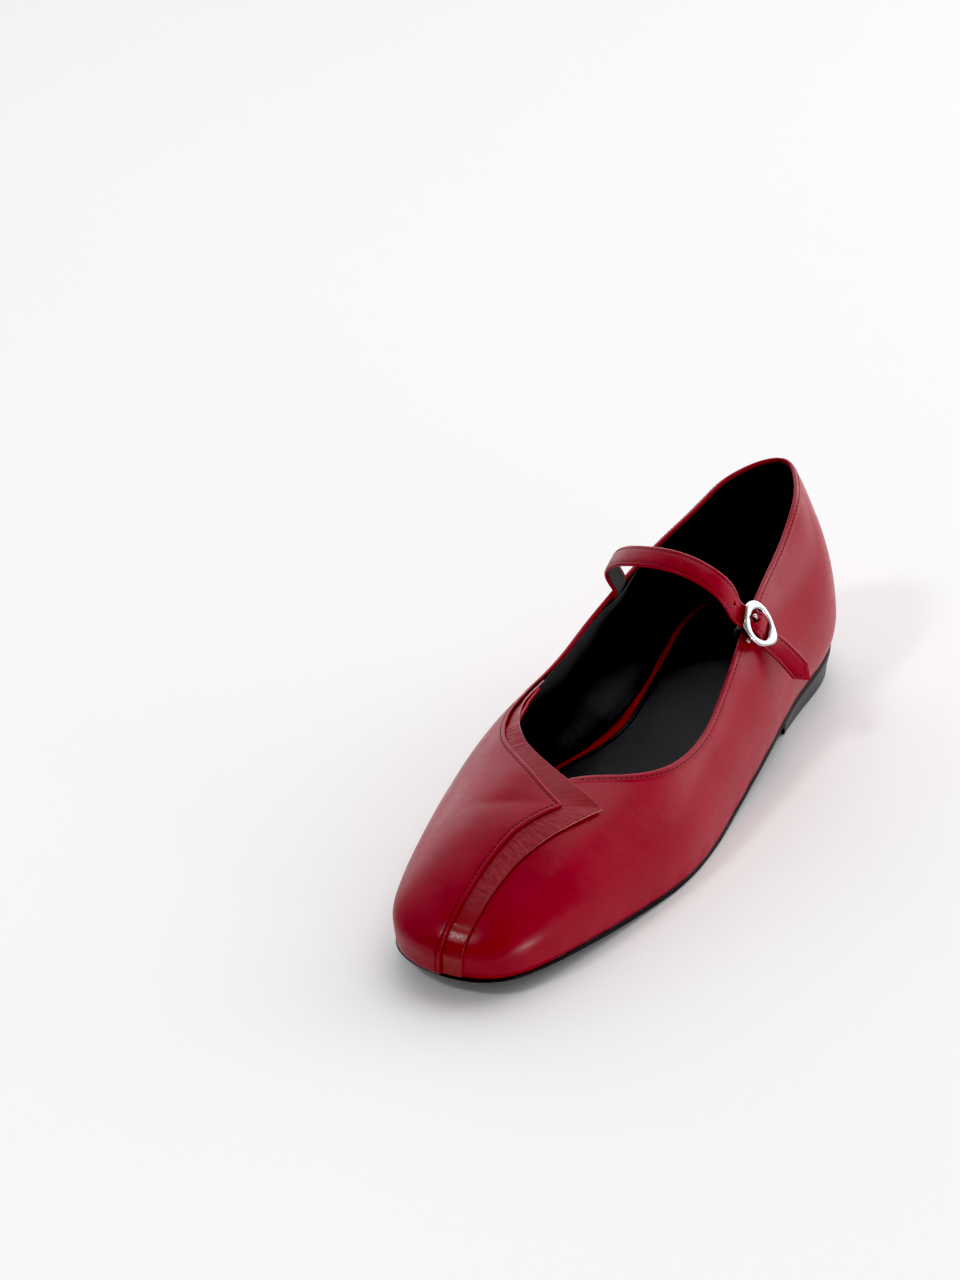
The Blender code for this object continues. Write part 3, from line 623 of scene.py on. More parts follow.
@dataclass
class VampLines:
    """Where the inner panel and the underlay end."""

    last: Last
    to_tip: tuple[Station, ...] = (
        Station(-33, -6.5, -33.9, -6.9), Station(-32.8, -11.5, -33.6, -11.9), Station(-32.2, -16.4, -32.7, -16.4),
        Station(-31.2, -21, -31.6, -21), Station(-29.7, -25.2, -31.7, -26.4), Station(-27.8, -30, -30.7, -31.5),
        Station(-24.3, -35.7, -28.6, -37.2), Station(-21, -39.8, -25.6, -42.3), Station(-15.3, -44.8, -20.6, -47.4),
        Station(-9.8, -48.5, -15.4, -51.4), Station(-4.2, -51.6, -9.8, -55.4), Station(1.4, -54.3, -4.4, -59),
        Station(7.8, -57.1, 1.4, -62.8, 0.2), Station(14.6, -59.6, 7, -66, 0.7), Station(21.3, -61.7, 10.9, -68.1, 1),
    )
    from_tip: tuple[Station, ...] = (
        Station(21.3, -61.7, 10.9, -68.1, 1), Station(19.4, -66.2, 9.5, -70.4, 0.9),
        Station(16.6, -72.6, 7.2, -73.6, 0.5), Station(13.3, -79.4, 4.6, -77.6, 0.2), Station(10.4, -86, 2, -82.6),
        Station(7.9, -92.6, 0.2, -89.2), Station(6.4, -98.8, -0.9, -96), Station(5.4, -105.1, -1.6, -103.6),
        Station(4.8, -111.4, -2.1, -111.2), Station(4.5, -118.1, -2.3, -118.1), Station(4.3, -123, -2.4, -123.4),
    )
    over_toe: tuple[ToeStation, ...] = (
        ToeStation(9.71, 10.04, 5), ToeStation(9.72, 10.05, -8), ToeStation(9.73, 10.06, -40),
        ToeStation(9.75, 10.08, -90),
    )
    corner_round: float = 1.4
    edge_top: float = 1.95  # the panel's folded edge stands this far over the vamp
    rise_length: float = 30  # from the inner collar, where it is level, to that height
    leave_row: float = 15.2  # where on the collar it starts to rise
    part_row: float = 14.62  # where the panel's edge and the opening part

    def stretch(self, stations: tuple[Station, ...], count: int) -> tuple[Array, Array, Array]:
        """Plan lines of one stretch.

        Args:
            stations: Its stations.
            count: How many places to give.

        Returns:
            The free edge, the panel's edge and the lift.
        """
        rows = table(stations)
        middle = (rows[:, :2] + rows[:, 2:4]) / 2
        length = running_length(middle)
        found = LineSpline(length, rows)(np.linspace(0, length[-1], count))
        return found[:, :2], found[:, 2:4], found[:, 4]

    def panel_lines(self, top_count: int, front_count: int) -> tuple[Array, Array]:
        """Rows and angles of the panel's edge: from the collar to its rounded corner, and on to the sole."""
        throat = even(self.stretch(self.to_tip[3:], 400)[1], 400)
        front = even(self.stretch(self.from_tip, 400)[1], 400)
        cut_a = np.searchsorted(-np.linalg.norm(throat - throat[-1], axis=1), -self.corner_round)
        cut_b = np.searchsorted(np.linalg.norm(front - front[0], axis=1), self.corner_round)
        a, c, b = throat[cut_a], throat[-1], front[cut_b]
        t = np.linspace(0, 1, 15)[:, None]
        arc = (1 - t) ** 2 * a + 2 * t * (1 - t) * c + t * t * b
        throat = even(np.concatenate([throat[:cut_a], arc[:8]]), top_count)
        front = even(np.concatenate([arc[7:], front[cut_b + 1 :]]), front_count)
        down = np.array([(toe.panel_row, toe.angle) for toe in self.over_toe])
        return self.last.under_plan(throat), np.concatenate([self.last.under_plan(front), down])

    def places(self, chart: Array) -> Array:
        """Chart places in space."""
        return self.last.point(chart[..., 0], chart[..., 1])

    def edge_line(self) -> Array:
        """Places of the panel's edge, from where it starts to rise."""
        rows = np.linspace(self.leave_row, self.part_row, 20)
        collar = np.stack([rows, self.last.opening(rows)], -1)
        top, front = self.panel_lines(160, 160)
        chart = np.concatenate([collar, top[top[:, 0] < self.part_row - 0.03], front[1:]])
        return even(self.places(chart), 460)

    def top_of_edge(self, along: Array, height: Array) -> Array:
        """Height of the panel's folded edge over the vamp.

        Args:
            along: Length along the edge from the collar.
            height: Height over the floor.

        Returns:
            Heights over the vamp.
        """
        rise = ease(along, 0, self.rise_length)
        pressed = 0.7 + 0.3 * ease(height, 9, 20)
        return self.edge_top * rise * pressed


@dataclass
class Upper:
    """The leather upper: outer quarter, inner panel, underlay, lining, seams."""

    last: Last
    lines: VampLines
    skin: float = 0.3
    roll: Roll = Roll(radius=0.8)
    panel_roll: Roll = Roll(radius=0.42, inside=2.2)
    underlay_thickness: float = 0.55
    collar_stitch: float = 1.9
    panel_stitch: float = 1.55
    lining_depth: float = 1.9
    lining_start: float = 1.95
    lining_top: float = 1.74  # its depth at its upper edge
    board: float = 3  # height of the footbed
    hem: float = 0.2  # the leather goes this far below the sole line
    toe_hem: float = 0.45  # and this much more round the toe
    lining_foot: tuple[tuple[float, float], ...] = (
        (0, 2.2), (3, 1.8), (8, 1.8), (10, 1), (14.6, 0.7), (15.04, 0.75), (15.38, 2.6), (15.73, 4.8),
        (16.06, 4.1), (16.45, 2.3), (16.96, 1.2), (17.3, 0.6), (17.8, 0.6), (18.6, 1.2), (20, 2.2),
    )  # how far it swells over the footbed's edge, by row
    panel_size: tuple[float, float] = (255, 60)  # along and down, about
    stitch_shade_width: float = 0.34  # how wide the painted shade along a row of stitches is
    near: tuple[float, ...] = (
        0, 0.2, 0.4, 0.65, 0.9, 1.15, 1.35, 1.5, 1.65, 1.8, 1.95, 2.15, 2.4, 2.75, 3.2, 3.8, 4.6, 5.6,
    )
    edge: Array = field(init=False)

    def __post_init__(self) -> None:
        """Lay out the panel's edge once."""
        self.edge = self.lines.edge_line()

    def collar_relief(self, away: Array) -> Array:
        """The collar's folded, stitched edge, by distance from it."""
        fold = 0.16 * (1 - ease(away, 2.2, 3.6))
        return fold - 0.06 * bump_of(away, self.collar_stitch, 0.4)

    def seam_relief(self, row: Array) -> Array:
        """The valley of the back seam."""
        turn = np.minimum(row, self.last.count - row)
        return -0.3 * bump_of(turn, 0, 0.03)

    def creases(self, places: Array) -> Array:
        """Soft troughs and ridges where the leather gives."""
        x, y, z = places[..., 0], places[..., 1], places[..., 2]
        waist = bump_of(y, 8, 26) * ease(z, 8, 22)
        slack = 0.18 * waist * np.sin((y + 0.5 * z) / 6.5)
        toe = 0.05 * bump_of(y, -104, 20) * np.sin(x / 5 + 0.6 * np.sin(y / 7))
        counter = -0.12 * bump_of(y - 0.35 * z, 44, 5) * ease(z, 14, 30)
        lasted = 0.1 * bump_of(z - self.last.feather(y), 2.5, 2.4) * np.sin(y / 2.3 + x / 3.1)
        return slack + toe + counter + lasted

    def surface(self, chart: Array, height: Array) -> tuple[Array, Array]:
        """The surface at heights over the last.

        Args:
            chart: Rows and angles.
            height: The heights.

        Returns:
            Places and outward directions.
        """
        row, angle = chart[..., 0], chart[..., 1]
        normal = self.last.normal(row, angle)
        points = self.last.point(row, angle) + normal * height[..., None]
        hem = self.hem + self.toe_hem * self.last.toe_share(points[..., 1])
        points[..., 2] -= hem * ease(-angle, 35, 90)
        return points, normal

    def down_lines(self, rows: Array, start: Array | float, shares: int) -> tuple[Array, Array]:
        """Lines down the wall, their places close together near the opening.

        Args:
            rows: Rows round the shoe.
            start: How far below the opening they begin.
            shares: How many places follow the close ones.

        Returns:
            Rows and angles, and distances from the opening.
        """
        top = self.last.opening(rows)[:, None]
        angle = top + (-90 - top) * np.linspace(0, 1, 260) ** 1.15
        chart = np.stack([np.broadcast_to(rows[:, None], angle.shape), angle], -1)
        length = running_length(np.swapaxes(self.lines.places(chart), 0, 1)).T
        start = np.broadcast_to(start, rows.shape)[:, None]
        room = length[:, -1:] - start
        close = np.array(self.near) * np.minimum(1, room / (2 * self.near[-1]))
        rest = close[:, -1:] + (room - close[:, -1:]) * np.linspace(0, 1, shares + 1)[1:]
        away = np.concatenate([close, rest], axis=1) + start
        return np.stack([at_lengths(*line) for line in zip(away, length, chart)]), away

    def outer_quarter(self) -> Piece:
        """The outer vamp and quarter, round from the back seam to under the panel."""
        rows = np.concatenate([np.linspace(0, 0.3, 14)[:-1], np.linspace(0.3, 14.9, 400)])
        hidden = ease(rows, 8.55, 8.95) * (1 - ease(rows, 14.05, 14.3))
        chart, away = self.down_lines(rows, self.roll.radius + 2.2 * hidden, 46)
        flat = self.lines.places(chart)
        gap, _ = nearest(flat, self.edge)
        inside = self.under_panel(chart, flat)
        sunk = -1.05 * (1 - ease(np.where(inside, -gap, gap), 0.9, 3.6))
        seam = self.seam_relief(chart[..., 0]) * ease(away, 0.6, 3.2)
        relief = self.collar_relief(away) + seam + self.creases(flat)
        covered = ease(sunk, -0.4, 0)
        points, normal = self.surface(chart, relief * covered + sunk)
        sheet = with_roll(points, normal[:, 0], self.roll)
        front = (0, 0), (sheet.shape[1] - points.shape[1], 0)
        across = np.pad(away, front)
        uv = np.stack([running_length(points[:, 0])[:, None] + 0 * across, across], -1)
        # The seam mask marks painted shade along the collar's row of stitches.
        masks = {"seam": bump_of(across, self.collar_stitch, self.stitch_shade_width)}
        return grid_object("outer_quarter", sheet, uv, masks, self.skin, np.pad(normal, (*front, (0, 0))))

    def under_panel(self, chart: Array, places: Array) -> Array:
        """Whether places of the upper lie on the panel's side of its edge."""
        edges = [self.lines.places(line)[:, :2] for line in self.lines.panel_lines(120, 120)]
        ring = np.concatenate([*edges, [[-2.4, -140], [-80, -140], [-80, -8]]])
        x, y = places[..., 0], places[..., 1]
        inside = np.zeros(x.shape, bool)
        for (ax, ay), (bx, by) in zip(ring, np.roll(ring, -1, axis=0)):
            if ay != by:
                crosses = (ay > y) != (by > y)
                inside ^= crosses & (x < ax + (y - ay) * (bx - ax) / (by - ay))
        below = (chart[..., 1] < 2) & (chart[..., 0] > 10.05)
        return (inside & (chart[..., 1] >= 2)) | below

    def inner_panel(self) -> Piece:
        """The inner quarter and vamp panel, its edge folded over the underlay."""
        last, roll = self.last, self.panel_roll
        collar_rows = np.linspace(20, self.lines.part_row, 300)
        collar = np.stack([collar_rows, last.opening(collar_rows)], -1)
        throat, front = self.lines.panel_lines(220, 160)
        keep = throat[:, 0] < self.lines.part_row - 0.07
        top = last.even(np.concatenate([collar, throat[keep]]), 900)
        front = last.even(front, 400)
        middle = last.point(13, 20)
        below = np.where(top[:, :1] > 14, last.point(top[:, 0], 0 * top[:, 1]), middle)
        top = inset(last, top, roll.radius * self.fold_share(top[:, 0]), below - self.lines.places(top))
        front = inset(last, front, roll.radius, middle - self.lines.places(front))
        front[0] = top[-1] = (top[-1] + front[0]) / 2
        front[-1, 1] = -90
        near = np.array(self.near)
        end, start = 1 - near[::-1] / self.panel_size[0], near / self.panel_size[1]
        u = np.concatenate([np.linspace(0, end[0], 300), end[1:]])
        v = np.concatenate([start[:-1], np.linspace(start[-1], 1, 62)])
        top_flat = pick(last.unrolled(*top.T), u)
        front_flat = pick(last.unrolled(*front.T), v)
        low = np.linspace([20, -90], [front[-1, 0], -90], 900)
        low_flat = pick(last.unrolled(*last.even(low, 900).T), u)
        back = np.linspace([20, top[0, 1]], [20, -90], 400)
        back_flat = pick(last.unrolled(*last.even(back, 400).T), v)
        uu, vv = u[:, None, None], v[None, :, None]
        flat = (
            (1 - vv) * top_flat[:, None] + vv * low_flat[:, None]
            + (1 - uu) * back_flat[None] + uu * front_flat[None]
            - (1 - uu) * (1 - vv) * top_flat[0] - uu * (1 - vv) * top_flat[-1]
            - (1 - uu) * vv * low_flat[0] - uu * vv * low_flat[-1]
        )
        chart = last.find(last.unrolled, flat, -90)
        chart[0, :, 0] = 20
        chart[:, -1, 1] = -90
        height, across, seam = self.panel_relief(chart)
        points, normal = self.surface(chart, height)
        sheet = self.rolled_two_ways(points, normal, roll, self.fold_share(chart[:, 0, 0]))
        padding = (0, sheet.shape[0] - len(u)), (sheet.shape[1] - len(v), 0)
        length = np.broadcast_to(u[:, None] * 265, across.shape)
        uv = np.pad(np.stack([length, across], -1), (*padding, (0, 0)), mode="edge")
        facing = np.pad(normal, (*padding, (0, 0)))
        return grid_object("inner_panel", sheet, uv, {"seam": np.pad(seam, padding)}, self.skin * 0.8, facing)

    def fold_share(self, row: Array) -> Array:
        """How much thicker the panel's fold is along the collar than along the throat."""
        return 1 + (self.roll.radius / self.panel_roll.radius - 1) * ease(row, 14.95, 15.5)

    def panel_relief(self, chart: Array) -> tuple[Array, Array, Array]:
        """How the inner panel stands over the last.

        Args:
            chart: Rows and angles.

        Returns:
            Heights, distances from its edge, and shares of a row of stitches, which mark the painted shade along it.
        """
        base = self.lines.places(chart)
        gap, along = nearest(base, self.edge)
        rows = np.linspace(20, self.lines.part_row, 300)
        side, _ = nearest(base, self.last.point(rows, self.last.opening(rows)))
        top = self.lines.top_of_edge(along, base[..., 2]) * (1 - ease(gap, 0.5, 27))
        fold = 0.08 * (1 - ease(gap, 0.7, 1.4)) - 0.06 * bump_of(gap, self.panel_stitch, 0.4)
        share = ease(along, 23, 33)
        relief = share * fold + (1 - share) * self.collar_relief(side)
        height = top + relief + self.seam_relief(chart[..., 0]) * ease(side, 0.6, 3.2) + self.creases(base)
        # The seam share marks painted shade along the rows of stitches.
        seam = share * bump_of(gap, self.panel_stitch, self.stitch_shade_width)
        seam = seam + (1 - share) * bump_of(side, self.collar_stitch, self.stitch_shade_width)
        return height, np.where(share > 0.5, gap, side), seam

    def rolled_two_ways(self, points: Array, normal: Array, roll: Roll, share: Array) -> Array:
        """A sheet folded over at its first column and its last row.

        Args:
            points: Places, along the top edge by down from it.
            normal: Outward directions.
            roll: The fold.
            share: Share of its size, along the top edge.

        Returns:
            The sheet with both folds and their corner.
        """
        steps = roll.places()
        top_out = outward_of_edge(points[:, 0], points[:, 3], normal[:, 0])
        side_out = outward_of_edge(points[-1], points[-4], normal[-1])
        corner_out = unit(top_out[-2] + side_out[1])
        top_out[-1] = side_out[0] = corner_out
        size = share[:, None]
        top = np.stack([points[:, 0] + top_out * (away * size if away > 0 else away) - normal[:, 0] * down * size
                        for away, down in steps[::-1]], 1)
        side = np.stack([points[-1] + side_out * a - normal[-1] * d for a, d in steps], 0)
        count = len(steps)
        corner = np.empty((count, count, 3))
        for i, j in product(range(count), repeat=2):
            away, down = steps[max(i, count - 1 - j)]
            corner[i, j] = points[-1, 0] + corner_out * away - normal[-1, 0] * down
        whole = np.concatenate([top, points], axis=1)
        return np.concatenate([whole, np.concatenate([corner, side], axis=1)], axis=0)

    def underlay(self) -> Piece:
        """The raw-edged band between the vamp and the panel, with its loose tip."""
        share = np.concatenate([np.linspace(0, 1, 22), [1.25, 1.6]])
        charts, lifts = [], []
        for stations, count in ((self.lines.to_tip, 230), (self.lines.from_tip, 150)):
            free, panel, lift = self.lines.stretch(stations, count)
            plan = free[:, None] + (panel - free)[:, None] * share[:, None]
            charts.append(self.last.under_plan(plan))
            lifts.append(lift)
        rows = table(self.lines.over_toe)
        fine = LineSpline(np.arange(len(rows)), rows)(np.linspace(0, len(rows) - 1, 40)[1:])
        down = fine[:, :1] + (fine[:, 1:2] - fine[:, :1]) * share
        angle = np.clip(np.broadcast_to(fine[:, 2:3], down.shape), -90, 90)
        charts.append(np.stack([down, angle], -1))
        lifts.append(np.zeros(len(down)))
        chart = np.concatenate([charts[0], charts[1][1:], charts[2]])
        lift = np.concatenate([lifts[0], lifts[1][1:], lifts[2]])[:, None]
        base = self.lines.places(chart)
        _, along_edge = nearest(base, self.edge)
        under = self.lines.top_of_edge(along_edge, base[..., 2]) - 2 * self.panel_roll.radius - 0.12
        along = running_length(base[:, 10])[:, None] + 0 * share
        across = np.linalg.norm(base - base[:, :1], axis=-1)
        matte = ease(along, 29.5, 30.3)
        throat = matte * (1 - ease(along, 34, 56))
        vamp = 0.45 * ease(along, 76, 92) * ease(base[..., 1], -116, -108)
        wrinkles = 0.085 * (throat + vamp) * ripple(along, across, 0.78, 3)
        wrinkles += 0.02 * ripple(along, across, 3.4, 8)
        toe = ease(0.25 * ripple(across, along, 2.2, 5) * 2 - base[..., 1], 111.5, 118)
        raised = 1.1 * np.maximum(lift, 0) * np.maximum(1 - share, 0) ** 2
        points, normal = self.surface(chart, under + wrinkles + raised - 0.35 * (1 - matte))
        # The worn mask marks where the band is wrinkled; the gloss mask where it is glossy.
        masks = {"worn": np.clip(throat + vamp, 0, 1), "gloss": np.clip(0.38 * (1 - matte) + toe, 0, 1)}
        uv = np.stack([along, across], -1)
        obj = grid_object("vamp_underlay", points, uv, masks, self.underlay_thickness, normal)
        obj.modifiers["skin"].material_offset_rim = 1
        return obj

    def lining(self) -> Piece:
        """The black lining, from inside the folded collar down to the footbed."""
        rows = np.linspace(0, 20, 441)
        chart, away = self.down_lines(rows, self.lining_start, 34)
        base = self.lines.places(chart)
        low = base[..., 2] - self.last.feather(base[..., 1]) - self.board
        foot = np.interp(rows, *np.array(self.lining_foot).T)[:, None]
        swell = foot * np.exp(-((np.maximum(low, 0) / (2.4 + 0.9 * foot)) ** 1.7))
        give = 0.16 * np.sin(rows[:, None] * 9 + low / 5) * ease(away, 4, 14)
        give -= 0.35 * bump_of(rows[:, None] - 0.02 * low, 17.15, 0.22) * ease(away, 5, 16)
        under_strap = 1.7 * bump_of(rows[:, None], 16.38, 0.27) * (1 - ease(away, 6, 13))
        depth = self.lining_top + (self.lining_depth - self.lining_top) * ease(away, 2, 7)
        points, normal = self.surface(chart, -depth - under_strap - swell + give)
        sheet = with_roll(points, -normal[:, 0], Roll(radius=0.33, inside=0.8, inside_steps=2))
        front = (0, 0), (sheet.shape[1] - points.shape[1], 0), (0, 0)
        along = running_length(points[:, 0])[:, None] + 0 * away
        uv = np.pad(np.stack([along, away], -1), front, mode="edge")
        return grid_object("lining", sheet, uv, {}, self.skin, np.pad(-normal, front))

    def collar_stitches(self) -> list[Piece]:
        """The rows of stitches below the collar's edge and beside the panel's edge."""
        made = []
        for name, first, final in ("outer_collar_stitches", 0.06, 8.1), ("inner_collar_stitches", 14.75, 19.94):
            rows = np.linspace(first, final, 500)
            chart = np.stack([rows, self.last.opening(rows)], -1)
            inner = self.last.point(rows, 0) - self.lines.places(chart)
            moved = inset(self.last, chart, self.collar_stitch, inner)
            flat = self.collar_relief(np.full(len(rows), self.collar_stitch)) + self.creases(self.lines.places(moved))
            height = self.panel_relief(moved)[0] if first > 10 else flat
            points, normal = self.surface(moved, height)
            made.append(stitch_row(name, points, normal))
        top, front = self.lines.panel_lines(300, 200)
        chart = self.last.even(np.concatenate([top[top[:, 0] < 14.5], front[1:]]), 700)
        middle = self.last.point(13, 20)
        moved = inset(self.last, chart, self.panel_stitch, middle - self.lines.places(chart))
        keep = nearest(self.lines.places(moved), self.edge)[0] > self.panel_stitch - 0.12
        points, normal = self.surface(moved, self.panel_relief(moved)[0])
        made.append(stitch_row("panel_stitches", points[keep], normal[keep]))
        return made


def pick(line: Array, shares: Array) -> Array:
    """Places at shares of the way along an evenly spaced line."""
    return at_lengths(shares, np.linspace(0, 1, len(line)), line)


# ---- footbed and bottom


@dataclass
class Plate:
    """A plate whose outline follows the sole line, with rounded edges."""

    last: Last
    outer_end: float = 10
    inner_end: float = 10
    steps: int = 180
    across: int = 16
    edge_points: int = 5

    def outline(self, top_out: float | Callable[[Array], Array], low_out: float | Callable[[Array], Array],
                low_ends: tuple[float, float] | None = None) -> tuple[Array, Array]:
        """Lines across the plate, in plan.

        Args:
            top_out: How far the top edge stands outside the sole line.
            low_out: The same for the lower edge.
            low_ends: Rows where the underside ends, if others.

        Returns:
            Ends of the lines of the top and of the underside, steps by sides.
        """
        share = np.linspace(0, 1, self.steps) ** 0.92
        ends = self.outer_end, self.inner_end
        found = []
        for out, (outer, inner) in ((top_out, ends), (low_out, low_ends or ends)):
            pair = outer * share, self.last.count - inner * share
            found.append(np.stack([self.last.rim(row, out(row) if callable(out) else out) for row in pair], 1))
        return found[0], found[1]

    def piece(self, name: str, top: Array, low: Array, top_z: Callable[[Array], Array],
              low_z: Callable[[Array], Array], radius: float, hollow: float = 0, dish: float = 0) -> Piece:
        """The closed plate, made of loops across it.

        Args:
            name: Its name.
            top: Ends of the top's lines.
            low: Ends of the underside's lines.
            top_z: Height of the top along the shoe.
            low_z: Height of the underside.
            radius: Roundness of the edges.
            hollow: How far the last line bends back.
            dish: How far the top sinks in its middle.

        Returns:
            The piece.
        """
        share = np.linspace(0, 1, self.across)
        bend = hollow * np.linspace(0, 1, self.steps) ** 3

        def lines(ends: Array, inwards: float) -> Array:
            """Plan places of the lines, their ends inwards."""
            way = ends[:, 1] - ends[:, 0]
            length = np.maximum(np.linalg.norm(way, axis=-1, keepdims=True), 1e-6)
            step = way / length * np.minimum(inwards, 0.45 * length)
            start, end = ends[:, 0] + step, ends[:, 1] - step
            found = start[:, None] + (end - start)[:, None] * share[:, None]
            found[..., 1] += bend[:, None] * (1 - (2 * share - 1) ** 2)
            return found

        def lifted(plan: Array, height: Callable[[Array], Array], step: Array | float) -> Array:
            """Plan places at their height."""
            return np.concatenate([plan, (height(plan[..., 1]) + step)[..., None]], -1)

        turn = np.linspace(0, np.pi / 2, self.edge_points + 1)[:-1]
        sink = -dish * (1 - (2 * share - 1) ** 4)
        rims = [
            (lifted(lines(top, radius * (1 - np.cos(a))), top_z, -radius * (1 - np.sin(a))),
             lifted(lines(low, radius * (1 - np.cos(a))), low_z, radius * (1 - np.sin(a))))
            for a in turn
        ]
        parts = [
            *(upper[:, :1] for upper, _ in rims), lifted(lines(top, radius), top_z, sink),
            *(upper[:, -1:] for upper, _ in rims[::-1]), *(lower[:, -1:] for _, lower in rims),
            lifted(lines(low, radius), low_z, 0)[:, ::-1], *(lower[:, :1] for _, lower in rims[::-1]),
        ]
        loop = np.concatenate(parts, axis=1)
        sections = closed(np.concatenate([loop, loop[:, :1]], axis=1))
        across = running_length(np.moveaxis(sections, 1, 0)).T
        along = running_length(sections[:, 0])[:, None] + 0 * across
        return grid_object(name, sections, np.stack([along, across], -1))


def closed(loops: Array) -> Array:
    """Closed loops with the first and the last also laid flat, to close the ends."""
    ends = (loops[[0, -1]] + loops[[0, -1], ::-1]) / 2
    return np.concatenate([ends[:1], loops, ends[1:]])


@dataclass
class Footbed:
    """The insole wrapped in red leather, with its black sock."""

    last: Last
    height: float = 3
    inside: float = 0.6
    dish: float = 0.6
    sock_height: float = 0.55
    sock_inset: tuple[tuple[float, float], ...] = (
        (0, 3.4), (3, 4.2), (6, 6.6), (8, 8), (10, 9), (12.5, 7), (14.4, 3.2), (15.06, 2.8),
        (15.22, 4), (15.34, 5.2), (15.46, 6.3), (15.61, 7.2), (15.78, 7.5), (15.95, 7), (16.15, 5.9),
        (16.37, 4.9), (16.62, 4.1), (16.94, 3.7), (17.3, 3.4), (17.8, 3.4), (18.6, 3.2), (20, 3.4),
    )  # how far its edge lies inside the sole line, by row
    stitch_in: float = 2.1
    stitch: StitchLook = StitchLook(pitch=2.4, length=1.8, width=0.55, height=0.3, hole=0.5)

    def top(self, y: Array) -> Array:
        """Height of the insole's top along the shoe."""
        return self.last.feather(y) + self.height

    def board(self) -> Piece:
        """The wrapped insole."""
        plate = Plate(self.last, across=24)
        ends = plate.outline(-self.inside, -self.inside)
        return plate.piece("insole_wrap", *ends, self.top, self.last.feather, 0.7, dish=self.dish)

    def inset_at(self, row: Array) -> Array:
        """How far the sock's edge lies inside the sole line."""
        return LineSpline(*np.array(self.sock_inset).T)(row)

    def sock(self) -> Piece:
        """The black sock."""
        plate = Plate(self.last, across=24)
        edge = lambda row: -self.inset_at(row)
        level = lambda y: self.top(y) - self.dish * 0.78 + self.sock_height
        return plate.piece("sock", *plate.outline(edge, edge), level, lambda y: level(y) - 1.1, 0.42,
                           dish=self.dish * 0.3)

    def sock_stitches(self) -> Piece:
        """The row of stitches round the sock."""
        rows = np.linspace(0, self.last.count, 900)
        plan = self.last.rim(rows, -self.inset_at(rows) - self.stitch_in)
        height = self.top(plan[:, 1]) - self.dish * 0.85 + self.sock_height + 0.02
        line = np.concatenate([plan, height[:, None]], -1)
        up = np.broadcast_to([0, 0, 1], line.shape)
        return stitch_row("sock_stitches", line, up, self.stitch)


@dataclass
class Bottom:
    """The outsole and the low heel with its top piece."""

    last: Last
    gap: float = 0.3
    thickness: float = 2.2
    toe_thickness: float = 1.5
    toe_drop: float = 0.4
    flange: float = 0.45
    heel_inset: float = 1.9
    breast_hollow: float = 5
    heel_top_ends: tuple[float, float] = (3.52, 3.5)
    heel_low_ends: tuple[float, float] = (3.38, 3.4)
    heel_height: float = 12.5
    top_piece: float = 3.2  # the part of it that touches the floor

    def sole_top(self, y: Array) -> Array:
        """Height of the outsole's top."""
        return self.last.feather(y) - self.gap - self.toe_drop * self.last.toe_share(y)

    def sole_low(self, y: Array) -> Array:
        """Height of the outsole's underside, which rests on the floor at the ball."""
        thickness = self.thickness + (self.toe_thickness - self.thickness) * self.last.toe_share(y)
        return np.maximum(self.sole_top(y) - thickness, 0)

    def outsole(self) -> Piece:
        """The outsole with its rounded edge."""
        plate = Plate(self.last, steps=240, across=20)
        ends = plate.outline(self.flange, self.flange - 0.15)
        return plate.piece("sole", *ends, self.sole_top, self.sole_low, 0.7)

    def split(self) -> tuple[float, tuple[float, float]]:
        """Inset and end rows of the heel where its top piece starts."""
        share = 1 - self.top_piece / self.heel_height
        ends = (a + (b - a) * share for a, b in zip(self.heel_top_ends, self.heel_low_ends))
        return -self.heel_inset * share, tuple(ends)

    def heel(self) -> Piece:
        """The heel block above its top piece."""
        out, ends = self.split()
        plate = Plate(self.last, *self.heel_top_ends, steps=90, across=20)
        return plate.piece("heel", *plate.outline(self.flange - 0.2, out, ends), lambda y: self.sole_low(y) - 0.04,
                           lambda y: 0 * y + self.top_piece, 0.3, self.breast_hollow)

    def heel_top_piece(self) -> Piece:
        """The wearing piece that touches the floor."""
        out, ends = self.split()
        plate = Plate(self.last, *ends, steps=90, across=20)
        ends = plate.outline(out + 0.03, -self.heel_inset, self.heel_low_ends)
        return plate.piece("heel_top_piece", *ends, lambda y: 0 * y + self.top_piece, lambda y: 0 * y, 0.2,
                           self.breast_hollow)


# ---- strap and buckle


@dataclass(frozen=True)
class BuckleFrame:
    """Where the buckle sits and how it faces."""

    at: Triple = (30.5, 38, 53.5)
    facing: Triple = (0.86, -0.1, 0.5)
    down_wish: Triple = (0.46, 0.4, -0.8)

    def axes(self) -> tuple[Array, Array, Array]:
        """Directions down the strap, aside and out of the foot."""
        out = unit(np.array(self.facing))
        wish = np.array(self.down_wish)
        down = unit(wish - out * (wish @ out))
        return down, np.cross(out, down), out

    def place(self, down: Array | float, aside: Array | float, out: Array | float) -> Array:
        """Places measured from the middle of the ring."""
        axes = self.axes()
        values = (np.asarray(v, float)[..., None] for v in (down, aside, out))
        return np.array(self.at) + sum(axis * value for axis, value in zip(axes, values))


